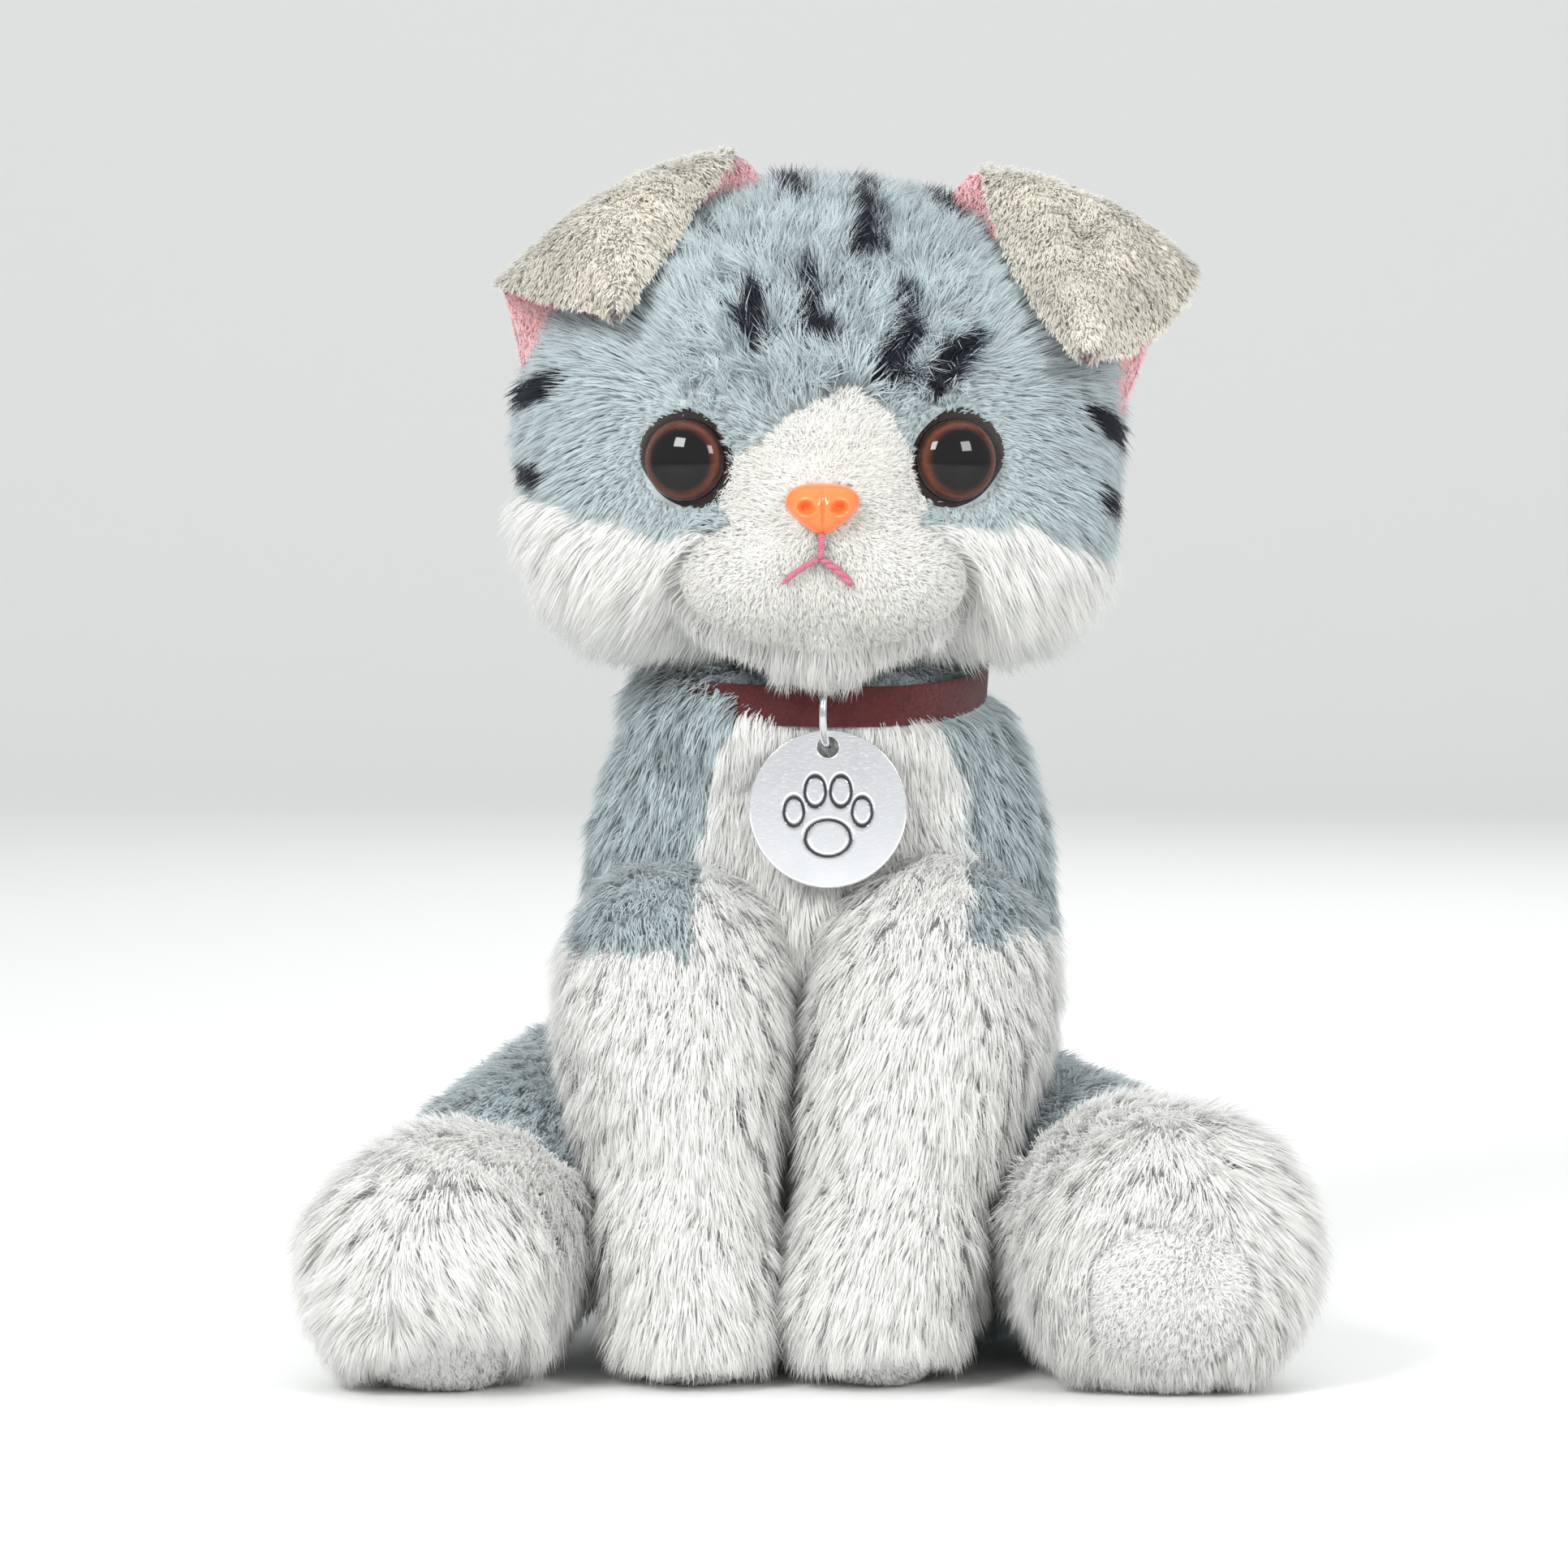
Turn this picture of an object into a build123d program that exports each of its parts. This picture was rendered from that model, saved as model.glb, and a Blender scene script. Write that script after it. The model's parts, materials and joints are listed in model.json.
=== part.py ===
from build123d import *
import math
import os

# A sitting plush cat with folded ears, a collar and a round tag.
# Millimetres, +Z up, the face looks along -Y and the cat's own left side is +X.
# Soft skins are drawn at the height of their pressed-down pile.

# ---------------------------------------------------------------- driving sizes
CLOTH = 2.6                 # skin: knitted backing with its pressed pile
CLEAR = 0.5                 # gap that a moving body keeps from its neighbour
SWUNG_CLEAR = 0.6           # the same gap round the far end of a limb's swing
FAR = 400.0                 # half size of a cutting block
THROUGH = 40.0              # length of a tool that passes through one skin
FLOOR_PRESS = 0.5           # how far the floor presses a round end flat

# Torso, turned about an axis that leans forward.
TORSO_BASE_Y = 14.0
TORSO_LEAN = 6.5            # degrees
TORSO_PROFILE = [(36, -6), (43, 8), (46, 35), (46.5, 62), (46.5, 92), (43.5, 110), (38, 128), (33, 133)]
NECK_R, NECK_TOP = 32.8, 141.0
CHEST_Y = -27.0             # the chest is pressed flat in front
CHEST_HALF_WIDTH = 25.0
BASE_THICK = 3.0
POUCH_TOP = 22.0            # the bean pouch fills the seat up to here

# Neck ball, the stuffed gather that the head turns and nods on.
NECK_BALL_Z, NECK_BALL_R = 143.0, 21.0      # height along the torso's axis

# Head: a round-ended loaf from ear to ear.
HEAD_C = Vector(0, -8, 190.5)
HEAD_HALF_WIDTH, HEAD_R = 60.0, 48.0
GUSSET_HALF_WIDTH = 25.0
BROW_Z, CHEEK_Z, CHIN_Z = 200.0, 175.0, 152.0
CHEEK_BACK_Y = 8.0

# Muzzle: two side puffs and the bridge of the nose.
PUFF_C, PUFF_HALF_WIDTH, PUFF_R = Vector(0.6, -47, 160), 26.5, 13.5
BRIDGE_C, BRIDGE_R = Vector(0.6, -45, 171), 15.5
STITCH_WIDTH, STITCH_RISE = 1.1, 0.7
MOUTH_Z, MOUTH_DROP, MOUTH_HALF_WIDTH = 164.6, 4.8, 6.8

# Eyes and nose: plastic domes on shanks, held by washers inside the skin.
EYE_X, EYE_Z, EYE_TURN = 26.6, 184.0, 16.0
EYE_R, EYE_DOME_R, EYE_RISE = 8.2, 9.4, 5.2
PATCH_R, PATCH_THICK = 10.2, 1.0
SHANK_R, SHANK_LENGTH = 1.8, 13.0
WASHER_R, WASHER_THICK, WASHER_GAP = 7.0, 1.5, 1.2
NOSE_C, NOSE_HALF_WIDTH, NOSE_R = Vector(0.3, -61, 175), 7.3, 5.2
NOSE_WASHER_R, NOSE_WASHER_BACK, NOSE_SHANK_DROP = 5.5, 10.0, 2.0

# Ears: a cloth fold, plush outside and lining inside.
EAR_BEND_R, EAR_CLOTH, EAR_LINING = 5.6, 2.2, 1.6
EAR_FLAP, EAR_ROOT, EAR_LENGTH = 20.0, 12.0, 50.0
EAR_TIP_HALF_WIDTH, EAR_SHOULDER, EAR_TOP = 8.0, 2.0, 12.0
EAR_PITCH = -24.0           # the flap follows the slope of the forehead
EARS = {                    # middle of the fold, and how far it slopes down sideways
    "left": (Vector(51, -14, 226), 23.0),
    "right": (Vector(-44, -14, 227.5), -31.0),
}

# Limbs: joint ball centre and radius, then end ball centre and radius.
# The end balls stand half a millimetre low, where the floor presses them flat.
FORELEGS = {
    "left": (Vector(24, -32, 80), 21.5, Vector(11.5, -58, 16), 16.5),
    "right": (Vector(-30, -32, 80), 20.5, Vector(-25.5, -58, 14.5), 15),
}
HIND_LEGS = {
    "left": (Vector(43, 6, 34), 23, Vector(68.5, -62, 26), 26.5),
    "right": (Vector(-49.5, 8, 40), 23.5, Vector(-76, -62, 23), 23.5),
}
SLEEVE_SHARE, THIGH_SHARE = 0.10, 0.52      # where the grey cloth ends along the limb
SOLE_DEPTH = 4.5
HIND_SWEEP = 16.0           # degrees that a hind leg may spread

# Tail: an arc on the floor behind the seat.
TAIL_R, TAIL_WAIST, TAIL_ARC_R = 9.0, 0.6, 36.0
TAIL_C = Vector(30, 46, TAIL_R - FLOOR_PRESS)
TAIL_START, TAIL_END, TAIL_DARK = 150.0, -10.0, 22.0

# Collar strap, ring and tag.
STRAP_R, STRAP_THICK, STRAP_HEIGHT, STRAP_TOP = 33.6, 1.4, 8.0, 142.4
RING_X, RING_WIRE_R, RING_INNER_R, RING_HANG = 1.6, 0.8, 5.5, 5.0
TAG_R, TAG_THICK, TAG_HOLE_R, TAG_HOLE_UP, TAG_PLAY = 16.0, 1.2, 2.1, 12.7, 0.4


# ---------------------------------------------------------------- helpers
def block(low, high):
    """A cutting block between two corners."""
    size = [b - a for a, b in zip(low, high)]
    middle = [(a + b) / 2 for a, b in zip(low, high)]
    return Pos(*middle) * Box(*size)


def above(z):
    return block((-FAR, -FAR, z), (FAR, FAR, FAR))


def beside(x):
    """Everything further out than x, on x's own side."""
    low, high = (x, FAR) if x > 0 else (-FAR, x)
    return block((low, -FAR, -FAR), (high, FAR, FAR))


def before(y):
    return block((-FAR, -FAR, -FAR), (FAR, y, FAR))


def between(half_width):
    return block((-half_width, -FAR, -FAR), (half_width, FAR, FAR))


def along(start, end):
    """The placement at start whose Z axis points to end."""
    return Plane(origin=start, z_dir=(end - start).normalized()).location


def capsule(length, r_start, r_end):
    """Two balls on the Z axis with the cone that just touches both."""
    slope = math.asin((r_start - r_end) / length)
    a = Vector(r_start * math.cos(slope), r_start * math.sin(slope))
    b = Vector(r_end * math.cos(slope), length + r_end * math.sin(slope))
    with BuildSketch(Plane.XZ) as half:
        with BuildLine():
            foot = Line((0, -r_start), (0, length + r_end))
            top = ThreePointArc(foot @ 1, _arc_mid(length, r_end, slope, 1), b)
            side = Line(top @ 1, a)
            ThreePointArc(side @ 1, _arc_mid(0, r_start, slope, -1), foot @ 0)
        make_face()
    return revolve(half.sketch, Axis.Z)


def loaf(centre, half_width, radius):
    """A rod along X with round ends, half_width from its middle to each tip."""
    reach = half_width - radius
    start = centre - Vector(reach, 0, 0)
    return along(start, centre) * capsule(2 * reach, radius, radius)


def _arc_mid(centre_z, radius, slope, up):
    """The middle point of a ball's profile between its pole and its touching point."""
    pole = math.pi / 2 * up
    middle = (pole + slope) / 2
    return Vector(radius * math.cos(middle), centre_z + radius * math.sin(middle))


def lean(shape):
    """From the torso's own upright axis to its leaning place."""
    return Pos(0, TORSO_BASE_Y, 0) * Rot(TORSO_LEAN, 0, 0) * shape


def lean_point(x, y, z):
    placed = Pos(0, TORSO_BASE_Y, 0) * Rot(TORSO_LEAN, 0, 0) * Pos(x, y, z)
    return placed.position


# ---------------------------------------------------------------- places that joints use
NECK_C = lean_point(0, 0, NECK_BALL_Z)
TAIL_ROOT = TAIL_C + Vector(TAIL_ARC_R, 0, 0).rotate(Axis.Z, TAIL_START)
STRAP_MID_R = STRAP_R + STRAP_THICK / 2
RING_PIVOT = lean_point(RING_X, -STRAP_MID_R, STRAP_TOP)
RING_C = RING_PIVOT - Vector(0, 0, RING_HANG)
RING_R = RING_INNER_R + RING_WIRE_R
TAG_PIVOT = RING_C - Vector(0, 0, RING_R)


# ---------------------------------------------------------------- torso
def torso_form(inset):
    """The torso's closed outline, drawn in by inset."""
    points = [(r - inset, z) for r, z in TORSO_PROFILE]
    top = NECK_TOP - inset
    with BuildSketch(Plane.XZ) as half:
        with BuildLine():
            side = Spline(*points)
            neck = Polyline(side @ 1, (NECK_R - inset, points[-1][1]), (NECK_R - inset, top), (0, top))
            Polyline(neck @ 1, (0, points[0][1]), side @ 0)
        make_face()
    solid = lean(revolve(half.sketch, Axis.Z))
    return solid & above(inset) - before(CHEST_Y + inset)


def limb_room():
    """The hollows that the limbs, the tail and the neck ball turn in."""
    rooms = [Pos(NECK_C) * Sphere(NECK_BALL_R + CLEAR), Pos(TAIL_ROOT) * Sphere(TAIL_R + CLEAR)]
    for start, r_start, end, r_end in FORELEGS.values():
        length = (end - start).length
        rooms.append(along(start, end) * capsule(length, r_start + CLEAR, r_end + CLEAR))
    for side, (start, r_start, end, r_end) in HIND_LEGS.items():
        turn = HIND_SWEEP if side == "left" else -HIND_SWEEP
        length = (end - start).length
        for angle, extra in ((0, CLEAR), (turn, SWUNG_CLEAR)):
            swung = start + (end - start).rotate(Axis.Z, angle)
            rooms.append(along(start, swung) * capsule(length, r_start + extra, r_end + extra))
    return rooms


def torso():
    skin = torso_form(0) - torso_form(CLOTH)
    filling = torso_form(CLOTH)
    for room in limb_room():
        skin -= room
        filling -= room
    seat = block((-FAR, -FAR, -FAR), (FAR, FAR, BASE_THICK))
    chest = between(CHEST_HALF_WIDTH) & before(CHEST_Y + 2 * CLOTH)
    return {
        "torso_back_panel": skin - seat - chest,
        "chest_panel": (skin - seat) & chest,
        "base_panel": skin & seat,
        "torso_stuffing": filling & above(POUCH_TOP),
        "bean_pouch": filling - above(POUCH_TOP),
    }


def neck():
    return {"neck_stuffing": Pos(NECK_C) * Sphere(NECK_BALL_R)}


# ---------------------------------------------------------------- head
def head_form(grow):
    return loaf(HEAD_C, HEAD_HALF_WIDTH + grow, HEAD_R + grow)


def muzzle_form(grow):
    puffs = loaf(PUFF_C, PUFF_HALF_WIDTH + grow, PUFF_R + grow)
    return puffs + Pos(BRIDGE_C) * Sphere(BRIDGE_R + grow)


def eye_place(side):
    """On the head's surface at the eye, with Z looking out of the face."""
    x = EYE_X if side == "left" else -EYE_X
    turn = EYE_TURN if side == "left" else -EYE_TURN
    beyond = abs(x) - (HEAD_HALF_WIDTH - HEAD_R)
    ring = math.sqrt(HEAD_R**2 - beyond**2)
    y = HEAD_C.Y - math.sqrt(ring**2 - (EYE_Z - HEAD_C.Z) ** 2)
    return Pos(x, y, EYE_Z) * Rot(0, 0, turn) * Rot(90, 0, 0)


def eye(side):
    place = eye_place(side)
    dome = Pos(0, 0, EYE_RISE - EYE_DOME_R) * Sphere(EYE_DOME_R) & Cylinder(EYE_R, 2 * EYE_DOME_R)
    patch = place * Cylinder(PATCH_R, THROUGH) & (head_form(PATCH_THICK) - head_form(0))
    patch -= place * Cylinder(SHANK_R, THROUGH)
    shank = place * Pos(0, 0, EYE_RISE / 2 - SHANK_LENGTH / 2) * Cylinder(SHANK_R, SHANK_LENGTH)
    seat = Pos(0, 0, -CLOTH - WASHER_THICK - WASHER_GAP)
    washer = place * seat * Cylinder(WASHER_R, WASHER_THICK) - shank
    washer -= head_form(0) - head_form(-CLOTH)
    return {
        f"eye_{side}": place * dome - head_form(PATCH_THICK) + shank,
        f"eye_patch_{side}": patch,
        f"eye_washer_{side}": washer,
    }


def nose():
    button = loaf(NOSE_C, NOSE_HALF_WIDTH, NOSE_R) - muzzle_form(0) - head_form(0)
    inside = NOSE_C + Vector(0, SHANK_LENGTH / 2, -NOSE_SHANK_DROP)
    shank = Pos(inside) * Rot(90, 0, 0) * Cylinder(SHANK_R, SHANK_LENGTH)
    seat = NOSE_C + Vector(0, NOSE_WASHER_BACK, -NOSE_SHANK_DROP)
    washer = Pos(seat) * Rot(90, 0, 0) * Cylinder(NOSE_WASHER_R, WASHER_THICK)
    return {"nose": button + shank, "nose_washer": washer - shank}


def mouth():
    """The sewn mouth: a short drop from the nose and two arms."""
    middle = Vector(0, 0, MOUTH_Z)
    ends = [Vector(0, 0, NOSE_C.Z - NOSE_R)]
    ends += [Vector(side * MOUTH_HALF_WIDTH, 0, MOUTH_Z - MOUTH_DROP) for side in (-1, 1)]
    thread = None
    for end in ends:
        run = end - middle
        bar = Box(STITCH_WIDTH, FAR, run.length)
        piece = Pos((middle + end) * 0.5) * Rot(0, math.degrees(math.atan2(run.X, run.Z)), 0) * bar
        thread = piece if thread is None else thread + piece
    thread = Pos(0, PUFF_C.Y - FAR / 2, 0) * thread
    return thread & (muzzle_form(STITCH_RISE) - muzzle_form(0))


def ear(side):
    """A fold over a rounded bend: plush cloth outside, lining inside."""
    middle, slope = EARS[side]
    place = Pos(middle) * Rot(0, slope, 0) * Rot(EAR_PITCH, 0, 0)

    def layer(radius, thick):
        bend = Cylinder(radius, EAR_LENGTH) - Cylinder(radius - thick, EAR_LENGTH)
        bend = Rot(0, 90, 0) * bend & above(0)
        flap = block((-EAR_LENGTH / 2, -radius, -EAR_FLAP), (EAR_LENGTH / 2, thick - radius, 0))
        root = block((-EAR_LENGTH / 2, radius - thick, -EAR_ROOT), (EAR_LENGTH / 2, radius, 0))
        return bend + flap + root

    corner = EAR_LENGTH / 2
    with BuildSketch(Plane.XZ) as outline:
        with BuildLine():
            tip = [(x, -EAR_FLAP) for x in (-EAR_TIP_HALF_WIDTH, EAR_TIP_HALF_WIDTH)]
            low = Spline((-corner, EAR_SHOULDER), *tip, (corner, EAR_SHOULDER))
            Polyline(low @ 1, (corner, EAR_TOP), (-corner, EAR_TOP), low @ 0)
        make_face()
    cut = extrude(outline.sketch, THROUGH, both=True)
    cloth = place * (layer(EAR_BEND_R, EAR_CLOTH) & cut) - head_form(0)
    lining = place * (layer(EAR_BEND_R - EAR_CLOTH, EAR_LINING) & cut) - head_form(0)
    return {f"ear_back_{side}": cloth, f"ear_lining_{side}": lining}


def head():
    parts = {}
    for side in ("left", "right"):
        parts |= eye(side)
        parts |= ear(side)
    parts |= nose()
    parts["mouth_stitches"] = mouth() - parts["nose"]

    skin = head_form(0) - head_form(-CLOTH)
    filling = head_form(-CLOTH)
    puff_skin = muzzle_form(0) - muzzle_form(-CLOTH) - head_form(0)
    puff_filling = muzzle_form(-CLOTH) - head_form(0)
    socket = Pos(NECK_C) * Sphere(NECK_BALL_R + CLEAR)
    held = [parts[name] for name in ("eye_left", "eye_right", "nose")]
    held += [parts[name] for name in ("eye_washer_left", "eye_washer_right", "nose_washer")]
    for cutter in [socket] + held:
        skin -= cutter
        filling -= cutter
        puff_skin -= cutter
        puff_filling -= cutter

    middle = between(GUSSET_HALF_WIDTH)
    front = before(HEAD_C.Y)
    cheek_zone = before(CHEEK_BACK_Y) - above(CHEEK_Z)
    gusset = skin & middle
    face = front & above(CHIN_Z) - above(BROW_Z)
    chin = front - above(CHIN_Z)
    parts["head_crown_panel"] = gusset - face - chin
    parts["face_panel"] = gusset & face
    parts["chin_panel"] = gusset & chin
    for side, x in (("left", GUSSET_HALF_WIDTH), ("right", -GUSSET_HALF_WIDTH)):
        half = skin & beside(x)
        parts[f"head_side_{side}"] = half - cheek_zone
        parts[f"cheek_{side}"] = half & cheek_zone
    parts["muzzle_panel"] = puff_skin
    parts["muzzle_stuffing"] = puff_filling
    parts["head_stuffing"] = filling
    return parts


# ---------------------------------------------------------------- limbs and tail
def limb(start, r_start, end, r_end, share, names):
    """Upper cloth, lower cloth, sole patch and filling of one stuffed limb."""
    length = (end - start).length
    place = along(start, end)
    skin = capsule(length, r_start, r_end) - capsule(length, r_start - CLOTH, r_end - CLOTH)
    filling = capsule(length, r_start - CLOTH, r_end - CLOTH)
    upper = block((-FAR, -FAR, -FAR), (FAR, FAR, length * share))
    tip = above(length + r_end - SOLE_DEPTH)
    shapes = [skin & upper, skin - upper - tip, skin & tip, filling]
    floor = above(0)
    return {name: (place * shape) & floor for name, shape in zip(names, shapes)}


def limbs():
    parts = {}
    for side, size in FORELEGS.items():
        names = [f"foreleg_{piece}_{side}" for piece in ("sleeve", "paw", "sole", "stuffing")]
        parts |= limb(*size, SLEEVE_SHARE, names)
    for side, size in HIND_LEGS.items():
        names = [f"hind_leg_{piece}_{side}" for piece in ("thigh", "foot", "sole", "stuffing")]
        parts |= limb(*size, THIGH_SHARE, names)
    return parts


def tail_point(angle):
    return TAIL_C + Vector(TAIL_ARC_R, 0, 0).rotate(Axis.Z, angle)


def tail_rod(inset):
    """A bent rod with a ball at each end, drawn in by inset."""
    section = Plane(origin=(TAIL_ARC_R, 0, 0), z_dir=(0, 1, 0)) * Circle(TAIL_R - TAIL_WAIST - inset)
    bend = Rot(0, 0, TAIL_END) * revolve(section, Axis.Z, revolution_arc=TAIL_START - TAIL_END)
    ends = [Pos(tail_point(angle)) * Sphere(TAIL_R - inset) for angle in (TAIL_START, TAIL_END)]
    return Pos(TAIL_C) * bend + ends


def tail():
    """Grey cloth with a dark tip round a filling."""
    skin = tail_rod(0) - tail_rod(CLOTH)
    dark = Pos(TAIL_C) * Rot(0, 0, TAIL_DARK) * block((0, -FAR, -FAR), (FAR, 0, FAR))
    skin &= above(0)
    return {"tail_cover": skin - dark, "tail_tip": skin & dark, "tail_stuffing": tail_rod(CLOTH)}


# ---------------------------------------------------------------- collar, ring and tag
def collar():
    low = STRAP_TOP - STRAP_HEIGHT / 2
    outside = Cylinder(STRAP_R + STRAP_THICK, STRAP_HEIGHT)
    inside = Cylinder(STRAP_R, STRAP_HEIGHT)
    ring = Pos(RING_C) * Rot(0, 90, 0) * Torus(RING_R, RING_WIRE_R)
    hole = TAG_PIVOT - Vector(0, 0, TAG_PLAY)
    disc = Pos(hole - Vector(0, 0, TAG_HOLE_UP)) * Rot(90, 0, 0) * Cylinder(TAG_R, TAG_THICK)
    eyelet = Pos(hole) * Rot(90, 0, 0) * Cylinder(TAG_HOLE_R, 2 * TAG_THICK)
    return {
        "collar_strap": lean(Pos(0, 0, low) * (outside - inside)),
        "split_ring": ring,
        "tag": disc - eyelet,
    }


# ---------------------------------------------------------------- the whole cat
def build():
    """All pieces, moved so that the box's bottom centre is the origin."""
    parts = torso() | neck() | head() | limbs() | tail() | collar()
    pieces = [Compound(list(part.solids())) for part in parts.values()]
    box = Compound(children=pieces).bounding_box()
    shift = Vector(-(box.min.X + box.max.X) / 2, -(box.min.Y + box.max.Y) / 2, -box.min.Z)
    return {name: Pos(shift) * part for name, part in parts.items()}, shift


PARTS, SHIFT = build()
os.makedirs("parts", exist_ok=True)
for node, shape in PARTS.items():
    solids = shape.solids()
    export_step(solids[0] if len(solids) == 1 else Compound(list(solids)), f"parts/{node}.step")
print(f"{len(PARTS)} pieces, shifted by {SHIFT}")
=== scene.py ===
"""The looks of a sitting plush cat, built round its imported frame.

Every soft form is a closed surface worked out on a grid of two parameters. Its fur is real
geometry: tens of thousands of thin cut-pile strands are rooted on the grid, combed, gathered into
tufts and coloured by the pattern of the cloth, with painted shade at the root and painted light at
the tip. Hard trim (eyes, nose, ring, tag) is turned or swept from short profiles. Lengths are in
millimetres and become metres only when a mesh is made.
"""
import json
import logging
import math
from collections.abc import Callable
from dataclasses import dataclass, field
from enum import Enum

import bpy
import numpy as np
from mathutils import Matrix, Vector


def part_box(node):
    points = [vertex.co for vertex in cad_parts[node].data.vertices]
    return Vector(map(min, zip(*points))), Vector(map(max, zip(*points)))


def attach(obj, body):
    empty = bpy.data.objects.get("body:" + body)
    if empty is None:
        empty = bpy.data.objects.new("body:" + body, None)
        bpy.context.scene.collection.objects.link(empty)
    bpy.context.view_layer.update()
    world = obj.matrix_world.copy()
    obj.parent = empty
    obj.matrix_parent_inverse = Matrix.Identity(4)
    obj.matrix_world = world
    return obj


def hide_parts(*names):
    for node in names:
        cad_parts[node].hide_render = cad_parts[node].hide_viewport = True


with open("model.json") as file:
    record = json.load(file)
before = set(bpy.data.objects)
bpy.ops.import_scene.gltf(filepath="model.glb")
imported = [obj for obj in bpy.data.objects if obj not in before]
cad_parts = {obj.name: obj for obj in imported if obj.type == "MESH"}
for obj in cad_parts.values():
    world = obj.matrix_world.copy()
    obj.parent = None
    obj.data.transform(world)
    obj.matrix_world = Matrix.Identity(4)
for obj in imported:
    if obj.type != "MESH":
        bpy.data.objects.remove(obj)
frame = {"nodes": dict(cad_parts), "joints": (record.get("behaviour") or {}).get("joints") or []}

logging.basicConfig(level=logging.INFO, format="%(name)s: %(message)s")
LOG = logging.getLogger("plush_cat")
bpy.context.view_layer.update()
MM = 0.001
FLOOR_GAP = 0.25            # lowest point of a strand over the floor
SKIN_FLOOR = 0.3            # lowest point of a skin over the floor
FILLING_INSET = 2.6         # depth of the filling under a skin
GUSSET_HALF_WIDTH = 28.0    # from the head's middle to each gusset seam
MIDDLE_X = 2.25             # the torso's middle, where its back seam runs
UP = np.array([0.0, 0.0, 1.0])
Array = np.ndarray


# ------------------------------------------------------------------ places in the frame
def node_box(name: str) -> Array:
    """A CAD node's low and high corners, in millimetres.

    Args:
        name: The node.
    Returns:
        A (2, 3) array.
    """
    low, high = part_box(name)
    return np.array([tuple(low), tuple(high)]) / MM


def node_mid(name: str) -> Array:
    """The middle of a CAD node's box, in millimetres."""
    return node_box(name).mean(axis=0)


def joint_place(name: str) -> Array:
    """Where a joint turns, in millimetres."""
    joint = next(j for j in frame["joints"] if j["name"] == name)
    return np.array(joint["pos_m"]) / MM


def joint_axis(name: str) -> Array:
    """The unit axis of a joint."""
    joint = next(j for j in frame["joints"] if j["name"] == name)
    return unit(np.array(joint["axis"], float))


# ------------------------------------------------------------------ array arithmetic
def unit(v: Array) -> Array:
    """Vectors divided by their own length."""
    return v / np.maximum(np.linalg.norm(v, axis=-1, keepdims=True), 1e-9)


def dot(a: Array, b: Array) -> Array:
    """Row by row dot product, kept as a column."""
    return (a * b).sum(axis=-1, keepdims=True)


def ramp(x: Array, low: float, high: float) -> Array:
    """A smooth step from 0 at low to 1 at high: 3t squared minus 2t cubed.

    Args:
        x: The values.
        low: Where the step starts.
        high: Where it ends.
    Returns:
        Values from 0 to 1.
    """
    t = np.clip((x - low) / (high - low), 0, 1)
    return t * t * (3 - 2 * t)


def blend(a: Array, b: Array, t: Array) -> Array:
    """Row by row mix of two sets of vectors or colours, t being one number a row."""
    t = np.asarray(t)[..., None]
    return a * (1 - t) + b * t


def curve_through(points: Array, s: Array) -> Array:
    """The parabola that passes its three points at s = 0, one half and 1 (Lagrange's formula).

    Args:
        points: Three points.
        s: Parameter values.
    Returns:
        One point for each value.
    """
    s = np.asarray(s)[..., None]
    first, middle, last = (s - 0.5) * (s - 1) * 2, s * (1 - s) * 4, s * (s - 0.5) * 2
    return first * points[0] + middle * points[1] + last * points[2]


class Chance:
    """Random numbers that depend only on a place in space, so each run gives the same cat."""

    TABLE = np.random.default_rng(11).random((1 << 16, 6))

    @classmethod
    def at(cls, cells: Array, salt: int = 0) -> Array:
        """Six numbers from 0 to 1 for each whole-number cell.

        Args:
            cells: Cell indices, three to a row.
            salt: Picks another set of numbers for the same cells.
        Returns:
            An array with six columns.
        """
        c = cells.astype(np.int64)
        mixed = c[..., 0] * 73856093 ^ c[..., 1] * 19349663 ^ c[..., 2] * 83492791 ^ (salt * 7919 + 17)
        mixed = mixed ^ (mixed >> 13)
        return cls.TABLE[mixed & 0xFFFF]

    @classmethod
    def noise(cls, points: Array, size: float, salt: int = 0) -> Array:
        """Smooth noise from -1 to 1: the eight corner values of each cell, blended.

        Args:
            points: Where it is read.
            size: The width of a cell.
            salt: Picks another pattern.
        Returns:
            Three noise values a point.
        """
        q = points / size
        cell = np.floor(q)
        t = q - cell
        t = t * t * (3 - 2 * t)
        total = np.zeros(points.shape)
        for corner in np.ndindex(2, 2, 2):
            c = np.array(corner)
            weight = np.prod(np.where(c == 1, t, 1 - t), axis=-1, keepdims=True)
            total += weight * cls.at(cell + c, salt)[..., :3]
        return total * 2 - 1

    @classmethod
    def tufts(cls, points: Array, size: float, salt: int = 0) -> tuple[Array, Array]:
        """The nearest tuft centre of each point, from one jittered centre in each cell.

        Args:
            points: Strand roots.
            size: Mean distance between tufts.
            salt: Picks another layout.
        Returns:
            Tuft centres, and six random numbers for each point's tuft.
        """
        cell = np.floor(points / size)
        best = np.full(len(points), np.inf)
        centre, numbers = np.zeros(points.shape), np.zeros((len(points), 6))
        for offset in np.ndindex(3, 3, 3):
            near = cell + np.array(offset) - 1
            own = cls.at(near, salt)
            place = (near + own[:, :3]) * size
            far = ((points - place) ** 2).sum(axis=1)
            closer = far < best
            best = np.where(closer, far, best)
            centre[closer], numbers[closer] = place[closer], own[closer]
        return centre, numbers


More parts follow.
